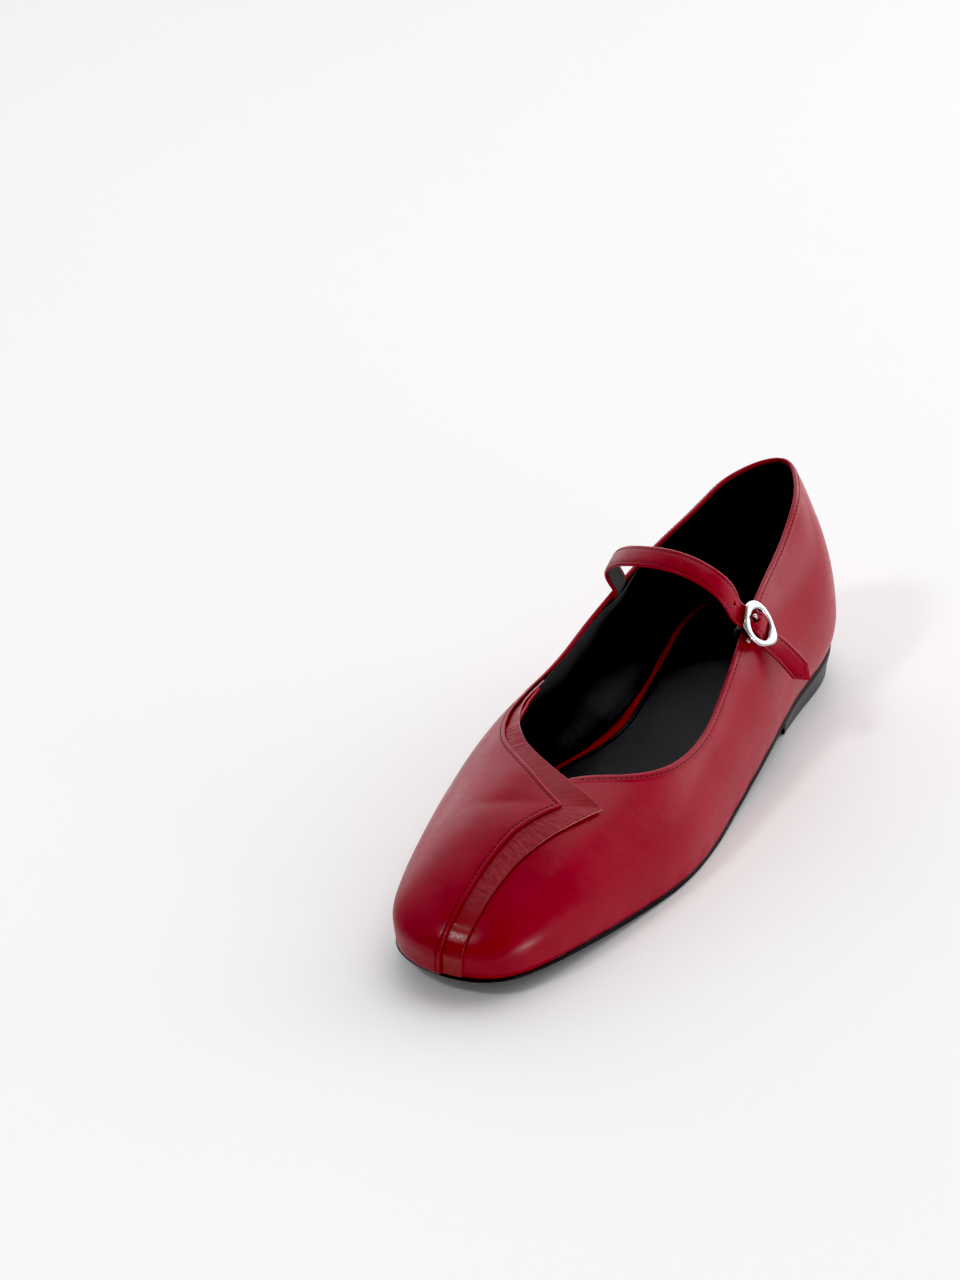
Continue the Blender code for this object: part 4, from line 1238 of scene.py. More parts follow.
@dataclass
class StripLine:
    """The middle line of a strip with its directions."""

    middle: Array
    side: Array
    face: Array

    @classmethod
    def through(cls, points: Array, wish: Array, count: int) -> StripLine:
        """A smooth strip line.

        Args:
            points: Places that it passes.
            wish: Directions across the strip there.
            count: How many sections it gets.

        Returns:
            The line.
        """
        place = running_length(points)
        place = place / place[-1]
        shares = np.linspace(0, 1, count)
        middle = even(LineSpline(place, points)(shares), count)
        along = unit(np.gradient(middle, axis=0))
        across = LineSpline(place, wish)(shares)
        side = unit(across - along * np.sum(across * along, -1, keepdims=True))
        return cls(middle, side, np.cross(along, side))

    def length(self) -> Array:
        """Length along the strip at each section."""
        return running_length(self.middle)

    def at(self, along: Array, across: Array, out: Array) -> tuple[Array, Array]:
        """Places over the strip, and outward directions.

        Args:
            along: Lengths along it.
            across: Distances aside of its middle.
            out: Distances over its middle.

        Returns:
            Places and directions.
        """
        length = self.length()
        middle, side, face = (at_lengths(along, length, part) for part in (self.middle, self.side, self.face))
        face = unit(face)
        return middle + unit(side) * across[..., None] + face * out[..., None], face

    def ribbon(self, shape: Array, cut: Callable[[Array], Array] | None = None, cut_length: float = 6.5) -> Array:
        """Closed sections of the strip.

        Args:
            shape: Closed section: across and out for each point.
            cut: How far the end is cut back, by distance aside.
            cut_length: How much of the end takes part in that.

        Returns:
            Places, sections by points.
        """
        along = self.length()[:, None] + 0 * shape[:, 0]
        if cut is not None:
            along = along - np.clip((along - along[-1]) / cut_length + 1, 0, 1) * cut(shape[:, 0])
        return closed(self.at(along, *(shape.T[:, None] + 0 * along))[0])

    def pattern(self, shape: Array) -> Array:
        """Pattern places of the ribbon of a section."""
        length = self.length()
        along = np.concatenate([length[:1], length, length[-1:]])[:, None] + 0 * shape[:, 0]
        return np.stack([along, 0 * along + shape[:, 0]], -1)


def strip_section(width: float, thickness: float, crown: float, dents: Sequence[float], count: int = 26) -> Array:
    """Section of a strip, rounded at its edges and dented under its stitches.

    Args:
        width: Its width.
        thickness: Thickness at its edges.
        crown: How far its middle stands up.
        dents: Distances aside that are pulled in.
        count: Points on each face.

    Returns:
        Across and out for each point, closed.
    """
    half, thick = width / 2, thickness / 2
    turn = np.linspace(-np.pi / 2, np.pi / 2, count)
    across = half * np.sin(turn)
    edge = np.sqrt(np.clip(1 - np.clip((np.abs(across) - half + thick) / thick, 0, 1) ** 2, 0, 1))
    top = thick * edge + crown * (1 - (across / half) ** 2) * (edge > 0)
    for dent in dents:
        top = top - 0.07 * bump_of(across, dent, 0.42)
    upper = np.stack([across, top], -1)
    under = np.stack([across[::-1], -thick * edge[::-1]], -1)[1:]
    return np.concatenate([upper, under])


@dataclass(frozen=True)
class ArchPoint:
    """A place of the strap's middle line, with its lean back in degrees."""

    x: float
    y: float
    z: float
    lean: float


@dataclass(frozen=True)
class TailPoint:
    """A place of the strap's middle line, from the middle of the ring."""

    down: float
    out: float
    aside: float
    twist: float = 0  # degrees by which its rear edge stands off


@dataclass
class Strap:
    """The strap over the instep, through the buckle, with its pointed tip."""

    buckle: BuckleFrame
    width: float = 8.8
    thickness: float = 1.25
    crown: float = 0.22
    stitch_aside: float = 2.9
    prong_hole: float = 1.05
    spare_hole: float = 0.85
    stitch: StitchLook = StitchLook(length=1.25, width=0.42, height=0.24, sunk=-0.03, hole=0.24)
    arch: tuple[ArchPoint, ...] = (
        ArchPoint(-29.5, 43.2, 50.2, 18), ArchPoint(-28.5, 43.2, 52.3, 18), ArchPoint(-27.9, 42.9, 54.6, 18),
        ArchPoint(-28.3, 42.1, 57.6, 20), ArchPoint(-28.9, 40.5, 61.2, 21), ArchPoint(-28.2, 38.4, 65.7, 23),
        ArchPoint(-22.8, 35.7, 71.4, 26), ArchPoint(-13, 33.2, 75.2, 26), ArchPoint(-2, 31.6, 77.1, 26),
        ArchPoint(8, 30.9, 76.5, 25), ArchPoint(16.5, 31.6, 72.7, 24), ArchPoint(21.8, 33.2, 66.2, 24),
    )
    tail: tuple[TailPoint, ...] = (
        TailPoint(-9, -2.5, 0.5), TailPoint(-6.8, -2.45, 0.6), TailPoint(-5, -2, 0.6), TailPoint(-3.1, -0.4, 0.6),
        TailPoint(-0.9, 0.8, 0.6), TailPoint(1.5, 0.2, 0.5), TailPoint(3.8, -1.65, 0.3), TailPoint(5.8, -2.3, 0.3),
        TailPoint(9, -2.2, 0.1, 1), TailPoint(15, -1.4, -0.6, 6), TailPoint(21, -0.8, -1.8, 10),
        TailPoint(28, -0.3, -3.3, 13),
    )
    tip_front: float = 5.2  # how far the end is cut back at its front edge
    tip_rear: float = 5.6
    spare_hole_share: float = 38 / 59
    line: StripLine = field(init=False)

    def __post_init__(self) -> None:
        """Lay the strap's middle line."""
        arch, tail = table(self.arch), table(self.tail)
        points = np.concatenate([arch[:, :3], self.buckle.place(tail[:, 0], tail[:, 2], tail[:, 1])])
        lean = np.radians(arch[:, 3])
        wish = np.stack([0 * lean, np.cos(lean), np.sin(lean)], -1)
        _, aside, out = self.buckle.axes()
        twist = np.radians(tail[:, 3:])
        wish = np.concatenate([wish, aside * np.cos(twist) + out * np.sin(twist)])
        self.line = StripLine.through(points, wish, 320)

    def cut_back(self, across: Array) -> Array:
        """How far the tip is cut back, by distance aside, with a blunt point."""
        share = across / (self.width / 2)
        blunt = np.sqrt(share**2 + 0.006) - 0.006**0.5
        return blunt * np.where(share < 0, self.tip_front, self.tip_rear)

    def leather(self) -> Piece:
        """The red leather strip with its holes."""
        dents = (-self.stitch_aside, self.stitch_aside)
        shape = strip_section(self.width, self.thickness, self.crown, dents)
        uv = self.line.pattern(shape)
        # The seam mask marks painted shade along both rows of stitches.
        seam = sum(bump_of(uv[..., 1], dent, 0.34) for dent in dents) * (shape[:, 1] > 0)
        return self.punched(grid_object("strap_leather", self.line.ribbon(shape, self.cut_back), uv, {"seam": seam}))

    def punched(self, obj: Piece) -> Piece:
        """A piece of the strap with the prong's hole and the spare one."""
        spare = int(self.spare_hole_share * (len(self.line.middle) - 1))
        cut_holes(obj, ((self.buckle.place(-2.95, 0.8, 0), self.buckle.axes()[2], self.prong_hole),
                        (self.line.middle[spare], self.line.face[spare], self.spare_hole)))
        return obj

    def backing(self) -> Piece:
        """The black backing between the strap's folded edges."""
        shape = strip_section(self.width - 1.7, 0.5, 0, (), 14)
        shape = shape + np.array([0, -self.thickness / 2 + 0.05])
        cut = lambda across: self.cut_back(across) + 1
        return self.punched(grid_object("strap_backing", self.line.ribbon(shape, cut)))

    def stitches(self) -> Piece:
        """The row of stitches down one edge, round the tip and back up the other."""
        length = self.line.length()[-1]
        aside = self.stitch_aside
        inner = (self.width / 2 - aside) * 1.25
        start = 2
        near, far = (length - self.cut_back(np.array(way)) - inner for way in (-aside, aside))
        path = even(np.array([(start, -aside), (near, -aside), (length - inner * 1.35, 0), (far, aside),
                              (start, aside)]), 900)
        shape = strip_section(self.width, self.thickness, self.crown, (-aside, aside), 120)
        height = np.interp(path[:, 1], *shape[:120].T)
        places, face = self.line.at(path[:, 0], path[:, 1], height)
        return stitch_row("strap_stitches", places, face, self.stitch)


def rod(name: str, start: Array, end: Array, radius: float, rounded: float = 0) -> Piece:
    """A straight rod with closed ends.

    Args:
        name: Its name.
        start: First end.
        end: Other end.
        radius: Its radius.
        rounded: Radius of its end edges.

    Returns:
        The piece.
    """
    axis = unit(end - start)
    length = float(np.linalg.norm(end - start))
    turn = Vector(axis).to_track_quat("Z", "Y").to_matrix().to_4x4()
    middle = Matrix.Translation(Vector((start + end) / 2 * MM))
    bm = bmesh.new()
    bmesh.ops.create_cone(bm, cap_ends=True, segments=24, radius1=radius * MM, radius2=radius * MM,
                          depth=length * MM, matrix=middle @ turn)
    if rounded:
        rims = [edge for edge in bm.edges if len(edge.link_faces) == 2
                and max(len(face.verts) for face in edge.link_faces) > 4]
        bmesh.ops.bevel(bm, geom=rims, offset=rounded * MM, segments=4, profile=0.5, affect="EDGES")
    return finished(name, bm)


def joined(obj: Piece, others: list[Piece], operation: str) -> None:
    """Join closed pieces to one or cut them from it.

    Args:
        obj: The piece that is kept.
        others: The pieces used up.
        operation: UNION or DIFFERENCE.
    """
    for other in others:
        modifier = obj.modifiers.new("join", "BOOLEAN")
        modifier.operation = operation
        modifier.solver = "EXACT"
        modifier.object = other
    bpy.context.view_layer.update()
    made = bpy.data.meshes.new_from_object(obj.evaluated_get(bpy.context.evaluated_depsgraph_get()))
    obj.modifiers.clear()
    obj.data = made
    for other in others:
        bpy.data.objects.remove(other)


def cut_holes(obj: Piece, holes: Iterable[tuple[Array, Array, float]]) -> None:
    """Punch round holes.

    Args:
        obj: The piece.
        holes: Middle, direction and radius of each.
    """
    cutters = [rod("punch", at - unit(way) * 3, at + unit(way) * 3, radius) for at, way, radius in holes]
    joined(obj, cutters, "DIFFERENCE")


@dataclass(frozen=True)
class RingPoint:
    """Outline of the ring at an angle from straight down: outer and hole radius, thickness."""

    outer: float
    hole: float
    thick: float = 1.8


@dataclass(frozen=True)
class PinPoint:
    """A place on the prong, with its radius."""

    down: float
    out: float
    aside: float
    radius: float


@dataclass
class Buckle:
    """The polished ring with its bar and prong, and the elastic that holds it."""

    frame: BuckleFrame
    last: Last
    ring: tuple[RingPoint, ...] = (
        RingPoint(8.75, 4.28), RingPoint(7.35, 4.4), RingPoint(6.8, 4.72), RingPoint(7.45, 5.2), RingPoint(8.9, 6.2),
        RingPoint(9.5, 6.2), RingPoint(8, 5.35), RingPoint(7.6, 4.78), RingPoint(7.2, 4.65), RingPoint(6.92, 4.6),
        RingPoint(7.05, 4.85), RingPoint(7.5, 5.15),
    )
    bar_along: float = -0.9
    bar_depth: float = 2.2
    bar_radius: float = 0.75
    bar_ends: tuple[float, float] = (-7.1, 7.6)
    bar_posts: tuple[float, float] = (-6.2, 6.9)
    prong: tuple[PinPoint, ...] = (
        PinPoint(-1.9, -1.75, 0.6, 0.42), PinPoint(-2.55, -1.3, 0.7, 0.48), PinPoint(-2.95, -0.2, 0.8, 0.5),
        PinPoint(-3.3, 1.1, 0.8, 0.52), PinPoint(-4.1, 1.72, 0.8, 0.58), PinPoint(-5.1, 1.74, 0.9, 0.7),
        PinPoint(-5.6, 1.72, 0.9, 0.45),
    )
    elastic_width: float = 7
    elastic_thickness: float = 0.7
    elastic_row: float = 3.86
    wall: float = 2.61  # from the last to inside the quarter's lining

    def frame_ring(self) -> Piece:
        """The ring, rounded all over, joined to its bar."""
        steps, sides = 120, 28
        turn = np.linspace(0, 1, steps + 1)
        outer, hole, thick = RingSpline(table(self.ring))(turn).T
        angle = 2 * np.pi * turn
        middle, half = (outer + hole) / 2, (outer - hole) / 2
        around = np.linspace(0, 2 * np.pi, sides + 1)
        wide = np.sign(np.cos(around)) * np.abs(np.cos(around)) ** 0.62
        tall = np.sign(np.sin(around)) * np.abs(np.sin(around)) ** 0.5
        radius = middle[:, None] + half[:, None] * wide
        down, aside = radius * np.cos(angle)[:, None], radius * np.sin(angle)[:, None]
        points = self.frame.place(down, aside, tall * thick[:, None] / 2)
        points[-1], points[:, -1] = points[0], points[:, 0]
        ring = grid_object("buckle_ring", points)
        first, last = (self.frame.place(self.bar_along, end, -self.bar_depth) for end in self.bar_ends)
        pieces = [rod("bar", first, last, self.bar_radius, 0.3)]
        for k, post in enumerate(self.bar_posts):
            foot, head = (self.frame.place(self.bar_along, post, out) for out in (-self.bar_depth - 0.2, 0.1))
            pieces.append(rod(f"post_{k}", foot, head, 0.65))
        joined(ring, pieces, "UNION")
        return ring

    def pin(self) -> Piece:
        """The prong with its ball tip and the eye round the bar."""
        rows = table(self.prong)
        points = self.frame.place(rows[:, 0], rows[:, 2], rows[:, 1])
        place = running_length(points)
        shares = np.linspace(0, place[-1], 60)
        middle = LineSpline(place, points)(shares)
        radius = LineSpline(place, rows[:, 3])(shares)
        tip = place[-1] - shares
        radius = radius * np.sqrt(np.clip(1 - np.clip(1 - tip / 0.55, 0, 1) ** 2, 0, 1))
        along = unit(np.gradient(middle, axis=0))
        aside = self.frame.axes()[1]
        side = unit(aside - along * (along @ aside)[:, None])
        face = np.cross(along, side)
        turn = np.linspace(0, 2 * np.pi, 25)
        ring = side[:, None] * np.cos(turn)[:, None] + face[:, None] * np.sin(turn)[:, None]
        sheet = middle[:, None] + ring * radius[:, None, None]
        ends = [np.broadcast_to(middle[k], sheet[k].shape)[None] for k in (0, -1)]
        sheet = np.concatenate([ends[0], sheet, ends[1]])
        sheet[:, -1] = sheet[:, 0]
        pin = grid_object("prong", sheet)
        big, small = self.bar_radius + 0.2 + 0.35, 0.35
        u, v = np.linspace(0, 2 * np.pi, 49)[:, None], np.linspace(0, 2 * np.pi, 17)[None, :]
        wide = big + small * np.cos(v)
        eye = self.frame.place(self.bar_along + wide * np.cos(u), 0.6 + 1.6 * small * np.sin(v) + 0 * u,
                               wide * np.sin(u) - self.bar_depth)
        eye[-1], eye[:, -1] = eye[0], eye[:, 0]
        joined(pin, [grid_object("eye", eye)], "UNION")
        return pin

    def elastic(self) -> Piece:
        """The black elastic from inside the outer collar round the bar."""
        row = self.elastic_row
        reach = self.wall + self.elastic_thickness / 2
        top = float(self.last.opening(row))
        inside = [self.last.point(row, top - d) - self.last.normal(row, top - d) * reach for d in (11, 7.5, 4.5)]
        edge = self.last.point(row, top)
        over = [edge + np.array([-1.75, -0.3, 1.1]), edge + np.array([0.1, -0.4, 1.85])]
        turn = np.radians(np.array([112, 90, 60, 30, 0, -30, -60, -90, -120, -150, -172]))
        radius = self.bar_radius + 0.2 + self.elastic_thickness / 2
        down, out = self.bar_along + radius * np.cos(turn), radius * np.sin(turn) - self.bar_depth
        loop = self.frame.place(down, 0 * turn + 0.2, out)
        points = np.array([*inside, *over, *loop])
        collar = -unit(self.last.point(row + 0.2, top) - self.last.point(row - 0.2, top))
        share = np.clip((np.arange(len(points)) - 2) / 3, 0, 1)[:, None]
        wish = collar * (1 - share) + self.frame.axes()[1] * share
        line = StripLine.through(points, wish, 110)
        shape = strip_section(self.elastic_width, self.elastic_thickness, 0, (), 30)
        obj = grid_object("buckle_elastic", line.ribbon(shape), line.pattern(shape))
        first, last = (self.frame.place(self.bar_along, end, -self.bar_depth) for end in (-0.5, 1.7))
        joined(obj, [rod("slot", first, last, 3.6)], "DIFFERENCE")
        return obj


# ---- finishes


class Nodes:
    """A node tree with short calls for the nodes in use."""

    def __init__(self, owner: bpy.types.Material | bpy.types.World, main: str = "Principled BSDF") -> None:
        """Start on an owner's tree and its main node."""
        owner.use_nodes = True
        self.tree = owner.node_tree
        self.shader = self.tree.nodes[main]

    def add(self, kind: str, inputs: dict[str | int, object] | None = None, **settings: object) -> bpy.types.Node:
        """A node with some of its inputs linked or set.

        Args:
            kind: Its type.
            inputs: Sockets or values, by name or index.
            **settings: Its attributes.

        Returns:
            The node.
        """
        node = self.tree.nodes.new(kind)
        for key, value in settings.items():
            setattr(node, key, value)
        for key, value in (inputs or {}).items():
            self.put(node.inputs[key], value)
        return node

    def put(self, socket: Socket, value: object) -> None:
        """Link a socket or set its value."""
        if isinstance(value, Socket):
            self.tree.links.new(value, socket)
        elif isinstance(value, tuple) and len(value) == 3 and socket.type == "RGBA":
            socket.default_value = (*value, 1)
        else:
            socket.default_value = value

    def set(self, **values: object) -> None:
        """Set or link inputs of the main node; underscores stand for spaces."""
        for key, value in values.items():
            self.put(self.shader.inputs[key.replace("_", " ")], value)

    def position(self) -> Socket:
        """Places on the piece, in metres."""
        return self.add("ShaderNodeTexCoord").outputs["Object"]

    def pattern(self) -> Socket:
        """The piece's own pattern places, in millimetres."""
        return self.add("ShaderNodeUVMap", uv_map="pattern").outputs["UV"]

    def mask(self, name: str) -> Socket:
        """One of the piece's masks."""
        return self.add("ShaderNodeAttribute", attribute_name=name).outputs["Fac"]

    def noise(self, where: Socket, size: float, detail: float = 3, roughness: float = 0.5,
              stretch: Triple = (1, 1, 1), distortion: float = 0) -> Socket:
        """Cloudy values from 0 to 1; size is the patches' width in the places' unit."""
        mapped = self.add("ShaderNodeMapping", {"Vector": where, "Scale": tuple(1 / s for s in stretch)})
        inputs = {"Vector": mapped.outputs[0], "Scale": 1 / size, "Detail": detail, "Roughness": roughness}
        return self.add("ShaderNodeTexNoise", inputs | {"Distortion": distortion}).outputs["Fac"]

    def cells(self, where: Socket, size: float) -> Socket:
        """Distance from the middle of small cells."""
        return self.add("ShaderNodeTexVoronoi", {"Vector": where, "Scale": 1 / size}).outputs["Distance"]

    def math(self, operation: str, a: object, b: object = 0) -> Socket:
        """One step of arithmetic."""
        return self.add("ShaderNodeMath", {0: a, 1: b}, operation=operation).outputs[0]

    def between(self, value: Socket, low: float, high: float, first: float = 0,
                last: float = 1) -> Socket:
        """A value mapped softly from one range to another."""
        inputs = {"Value": value, "From Min": low, "From Max": high, "To Min": first, "To Max": last}
        return self.add("ShaderNodeMapRange", inputs, interpolation_type="SMOOTHSTEP").outputs[0]

    def mix(self, share: object, first: object, last: object) -> Socket:
        """A colour between two."""
        return self.add("ShaderNodeMix", {0: share, 6: first, 7: last}, data_type="RGBA").outputs[2]

    def bump(self, height: Socket, distance: float, below: Socket | None = None) -> Socket:
        """A bump of a real height, on top of another."""
        inputs = {"Height": height, "Distance": distance * MM, "Strength": 1}
        if below is not None:
            inputs["Normal"] = below
        return self.add("ShaderNodeBump", inputs).outputs[0]


@dataclass(frozen=True)
class Finish:
    """What a surface is made of."""

    name: str

    def build(self) -> bpy.types.Material:
        """Make the material."""
        material = bpy.data.materials.new(self.name)
        nodes = Nodes(material)
        self.shade(nodes, nodes.position())
        return material


@dataclass(frozen=True)
class PolishedLeather(Finish):
    """Red leather with a polished, finely grained face."""

    colour: Triple = (0.3, 0.0045, 0.0185)
    deep: Triple = (0.268, 0.0035, 0.015)
    # dark: painted shade of the stitch grooves, laid along each row of stitches by the seam mask
    dark: Triple = (0.12, 0.0014, 0.0045)
    roughness: float = 0.36
    specular: float = 0.17
    sheen: float = 0.11
    coat: float = 0.1
    coat_roughness: float = 0.24
    grain: float = 0.014
    unevenness: float = 0.07

    def shade(self, n: Nodes, where: Socket) -> None:
        """Set the shader."""
        clouds = n.noise(where, 0.014, 4, 0.55)
        mottle = n.noise(where, 0.0023, 3, 0.6)
        pores = n.cells(where, 0.00055)
        fine = n.noise(where, 0.00035, 2, 0.6)
        seam = n.mask("seam")
        colour = n.mix(n.between(clouds, 0.32, 0.68), self.deep, self.colour)
        colour = n.mix(n.between(mottle, 0.4, 0.75, 0, 0.5), colour, self.deep)
        # Painted shade: the seam mask darkens the leather along each row of stitches, as the shade of their groove.
        colour = n.mix(n.math("MULTIPLY", seam, 0.12), colour, self.dark)
        shine = n.between(clouds, 0.3, 0.7, self.roughness - 0.05, self.roughness + 0.06)
        shine = n.math("ADD", shine, n.between(mottle, 0.3, 0.8, -0.03, 0.05))
        waves = n.bump(n.noise(where, 0.0085, 2, 0.5), self.unevenness * 2.2)
        ripples = n.bump(n.noise(where, 0.0021, 3, 0.55), self.unevenness * 0.22, waves)
        grained = n.bump(pores, self.grain, ripples)
        grained = n.bump(fine, self.grain * 0.5, grained)
        n.set(Base_Color=colour, Roughness=shine, Normal=grained, Specular_IOR_Level=self.specular,
              Coat_Weight=self.coat, Coat_Roughness=self.coat_roughness, Coat_Normal=ripples, Coat_IOR=1.5,
              Sheen_Weight=self.sheen, Sheen_Roughness=0.3)


@dataclass(frozen=True)
class CreasedLeather(Finish):
    """The underlay's leather: matter than the rest, wrinkled, lighter and pinker on the crests of its creases in
    places.
    """

    colour: Triple = (0.25, 0.006, 0.013)
    soft: Triple = (0.215, 0.0075, 0.015)
    # rubbed: the lighter, pinker tone on the creases' crests where the band is wrinkled
    rubbed: Triple = (0.35, 0.05, 0.068)
    dark: Triple = (0.25, 0.0016, 0.005)

    def shade(self, n: Nodes, where: Socket) -> None:
        """Set the shader."""
        pattern = n.pattern()
        worn, gloss = n.mask("worn"), n.mask("gloss")
        across = n.noise(pattern, 1, 4, 0.6, (0.9, 3.6, 1), 0.4)
        fibres = n.noise(where, 0.0005, 3, 0.65)
        patches = n.noise(where, 0.006, 3, 0.5)
        light = n.math("MULTIPLY", worn, n.between(across, 0.35, 0.7))
        colour = n.mix(n.between(patches, 0.3, 0.7), self.colour, self.soft)
        # Lighter and pinker on the crests of the crease pattern, inside the worn mask.
        colour = n.mix(light, colour, self.rubbed)
        colour = n.mix(gloss, colour, self.dark)
        rough = n.math("ADD", n.between(gloss, 0, 1, 0.52, 0.34), n.between(fibres, 0.2, 0.8, -0.04, 0.06))
        creased = n.bump(n.math("MULTIPLY", across, worn), 0.15)
        grained = n.bump(fibres, 0.02, creased)
        streaks = n.noise(pattern, 0.9, 3, 0.55, (3.2, 1, 1), 0.5)
        polish = n.math("MULTIPLY", n.between(gloss, 0.2, 0.9, 0, 0.36), n.between(streaks, 0.25, 0.6, 0.25, 1))
        glossed = n.bump(streaks, 0.16, n.bump(patches, 0.12))
        n.set(Base_Color=colour, Roughness=rough, Normal=grained, Coat_Weight=polish, Coat_Normal=glossed,
              Coat_Roughness=0.11, Specular_IOR_Level=0.26)


@dataclass(frozen=True)
class CutEdge(Finish):
    """The raw cut edge of the underlay's leather: its pale pink is partly the raw edge's own tone and partly a
    painted highlight along the edge.
    """

    colour: Triple = (0.68, 0.27, 0.28)
    dark: Triple = (0.42, 0.1, 0.11)
    toe_shade: Triple = (0.24, 0.02, 0.03)  # painted shade towards the toe, where the edge lies in shadow

    def shade(self, n: Nodes, where: Socket) -> None:
        """Set the shader."""
        fibres = n.noise(where, 0.0006, 4, 0.65)
        colour = n.mix(n.between(fibres, 0.35, 0.65), self.dark, self.colour)
        along = n.add("ShaderNodeSeparateXYZ", {0: where}).outputs[1]
        # Painted shade: the edge turns dark red towards the toe.
        colour = n.mix(n.between(along, -0.094, -0.07), self.toe_shade, colour)
        n.set(Base_Color=colour, Roughness=n.between(fibres, 0.2, 0.8, 0.6, 0.8), Normal=n.bump(fibres, 0.08))


@dataclass(frozen=True)
class DullCloth(Finish):
    """Linings, sock and backing: dark, soft, finely textured."""

    colour: Triple = (0.054, 0.0535, 0.054)
    light: Triple = (0.062, 0.0615, 0.062)
    roughness: float = 0.62
    sheen: float = 0.03
    specular: float = 0.14
    grain: float = 0.0006
    height: float = 0.03
    unevenness: float = 0.12

    def shade(self, n: Nodes, where: Socket) -> None:
        """Set the shader."""
        clouds = n.noise(where, 0.009, 4, 0.55)
        grain = n.cells(where, self.grain)
        fine = n.noise(where, self.grain * 0.6, 3, 0.6)
        colour = n.mix(n.between(clouds, 0.3, 0.75), self.colour, self.light)
        rough = n.math("ADD", n.between(clouds, 0.3, 0.7, self.roughness - 0.05, self.roughness + 0.07),
                       n.between(fine, 0.2, 0.8, -0.04, 0.04))
        waves = n.bump(clouds, self.unevenness)
        grained = n.bump(fine, self.height * 0.6, n.bump(grain, self.height, waves))
        n.set(Base_Color=colour, Roughness=rough, Normal=grained, Sheen_Weight=self.sheen, Sheen_Roughness=0.5,
              Specular_IOR_Level=self.specular)


@dataclass(frozen=True)
class SoleRubber(Finish):
    """The outsole's and heel's dark compound, scuffed underneath."""

    colour: Triple = (0.013, 0.0105, 0.0115)
    worn: Triple = (0.03, 0.026, 0.027)
    roughness: float = 0.5
    specular: float = 0.12

    def shade(self, n: Nodes, where: Socket) -> None:
        """Set the shader."""
        height = n.add("ShaderNodeSeparateXYZ", {0: where}).outputs[2]
        clouds = n.noise(where, 0.012, 5, 0.6)
        scratches = n.noise(where, 0.0016, 4, 0.65, (1, 7, 1), 0.3)
        speckle = n.noise(where, 0.0005, 2, 0.5)
        low = n.between(height, 0.0002, 0.0018, 1, 0)
        rubbed = n.math("MULTIPLY", low, n.between(scratches, 0.38, 0.66))
        rubbed = n.math("ADD", rubbed, n.between(clouds, 0.5, 0.8, 0, 0.25))
        colour = n.mix(rubbed, self.colour, self.worn)
        rough = n.math("ADD", n.between(rubbed, 0, 1, self.roughness, self.roughness + 0.25),
                       n.between(speckle, 0.2, 0.8, -0.05, 0.05))
        bumped = n.bump(speckle, 0.02, n.bump(scratches, 0.05, n.bump(clouds, 0.1)))
        n.set(Base_Color=colour, Roughness=rough, Normal=bumped, Specular_IOR_Level=self.specular)


@dataclass(frozen=True)
class PolishedMetal(Finish):
    """Bright nickel with faint hairlines."""

    colour: Triple = (0.52, 0.515, 0.51)
    roughness: float = 0.22

    def shade(self, n: Nodes, where: Socket) -> None:
        """Set the shader."""
        hairlines = n.noise(where, 0.0003, 3, 0.6, (1, 9, 9))
        clouds = n.noise(where, 0.003, 3, 0.5)
        rough = n.math("ADD", n.between(hairlines, 0.3, 0.7, -0.02, 0.03), n.between(clouds, 0.3, 0.7,
                       self.roughness, self.roughness + 0.05))
        n.set(Base_Color=self.colour, Metallic=1, Roughness=rough,
              Normal=n.bump(hairlines, 0.003, n.bump(clouds, 0.03)))


@dataclass(frozen=True)
class Thread(Finish):
    """Waxed sewing thread, its two plies twisted."""

    # Its dark red is partly the thread's own colour and partly painted shade of a stitch groove.
    colour: Triple = (0.085, 0.0007, 0.0022)
    light: Triple = (0.13, 0.0015, 0.0045)

    def shade(self, n: Nodes, where: Socket) -> None:
        """Set the shader."""
        twist = n.noise(where, 0.00022, 2, 0.5, (1, 1, 1), 0.6)
        tone = n.noise(where, 0.004, 2, 0.5)
        colour = n.mix(n.between(twist, 0.35, 0.65), self.colour, self.light)
        colour = n.mix(n.between(tone, 0.3, 0.8, 0, 0.4), colour, self.colour)
        n.set(Base_Color=colour, Roughness=n.between(twist, 0.2, 0.8, 0.5, 0.65), Normal=n.bump(twist, 0.05),
              Specular_IOR_Level=0.25)


@dataclass(frozen=True)
class RibbedElastic(Finish):
    """Black woven elastic with ribs along it."""

    colour: Triple = (0.0085, 0.008, 0.009)
    # light: painted highlight on the ribs' crests, against painted shade between them
    light: Triple = (0.033, 0.031, 0.033)

    def shade(self, n: Nodes, where: Socket) -> None:
        """Set the shader."""
        parts = n.add("ShaderNodeSeparateXYZ", {0: n.pattern()})
        ribs = n.math("SINE", n.math("MULTIPLY", parts.outputs[1], 6.283 / 0.62))
        weft = n.math("SINE", n.math("MULTIPLY", parts.outputs[0], 6.283 / 0.36))
        fuzz = n.noise(where, 0.0003, 3, 0.6)
        height = n.math("ADD", n.math("MULTIPLY", ribs, 0.5), n.math("MULTIPLY", weft, 0.22))
        # Painted shade between the ribs and painted highlight on their crests: the colour follows the ribs' height.
        colour = n.mix(n.between(height, -0.4, 0.7), self.colour, self.light)
        n.set(Base_Color=colour, Roughness=n.between(fuzz, 0.2, 0.8, 0.68, 0.85), Sheen_Weight=0.15,
              Normal=n.bump(fuzz, 0.02, n.bump(height, 0.09)))


class Floor(Enum):
    """Tones of the setting."""

    TONE = (0.935, 0.92, 0.905)
    WORLD = (0.955, 0.965, 1)


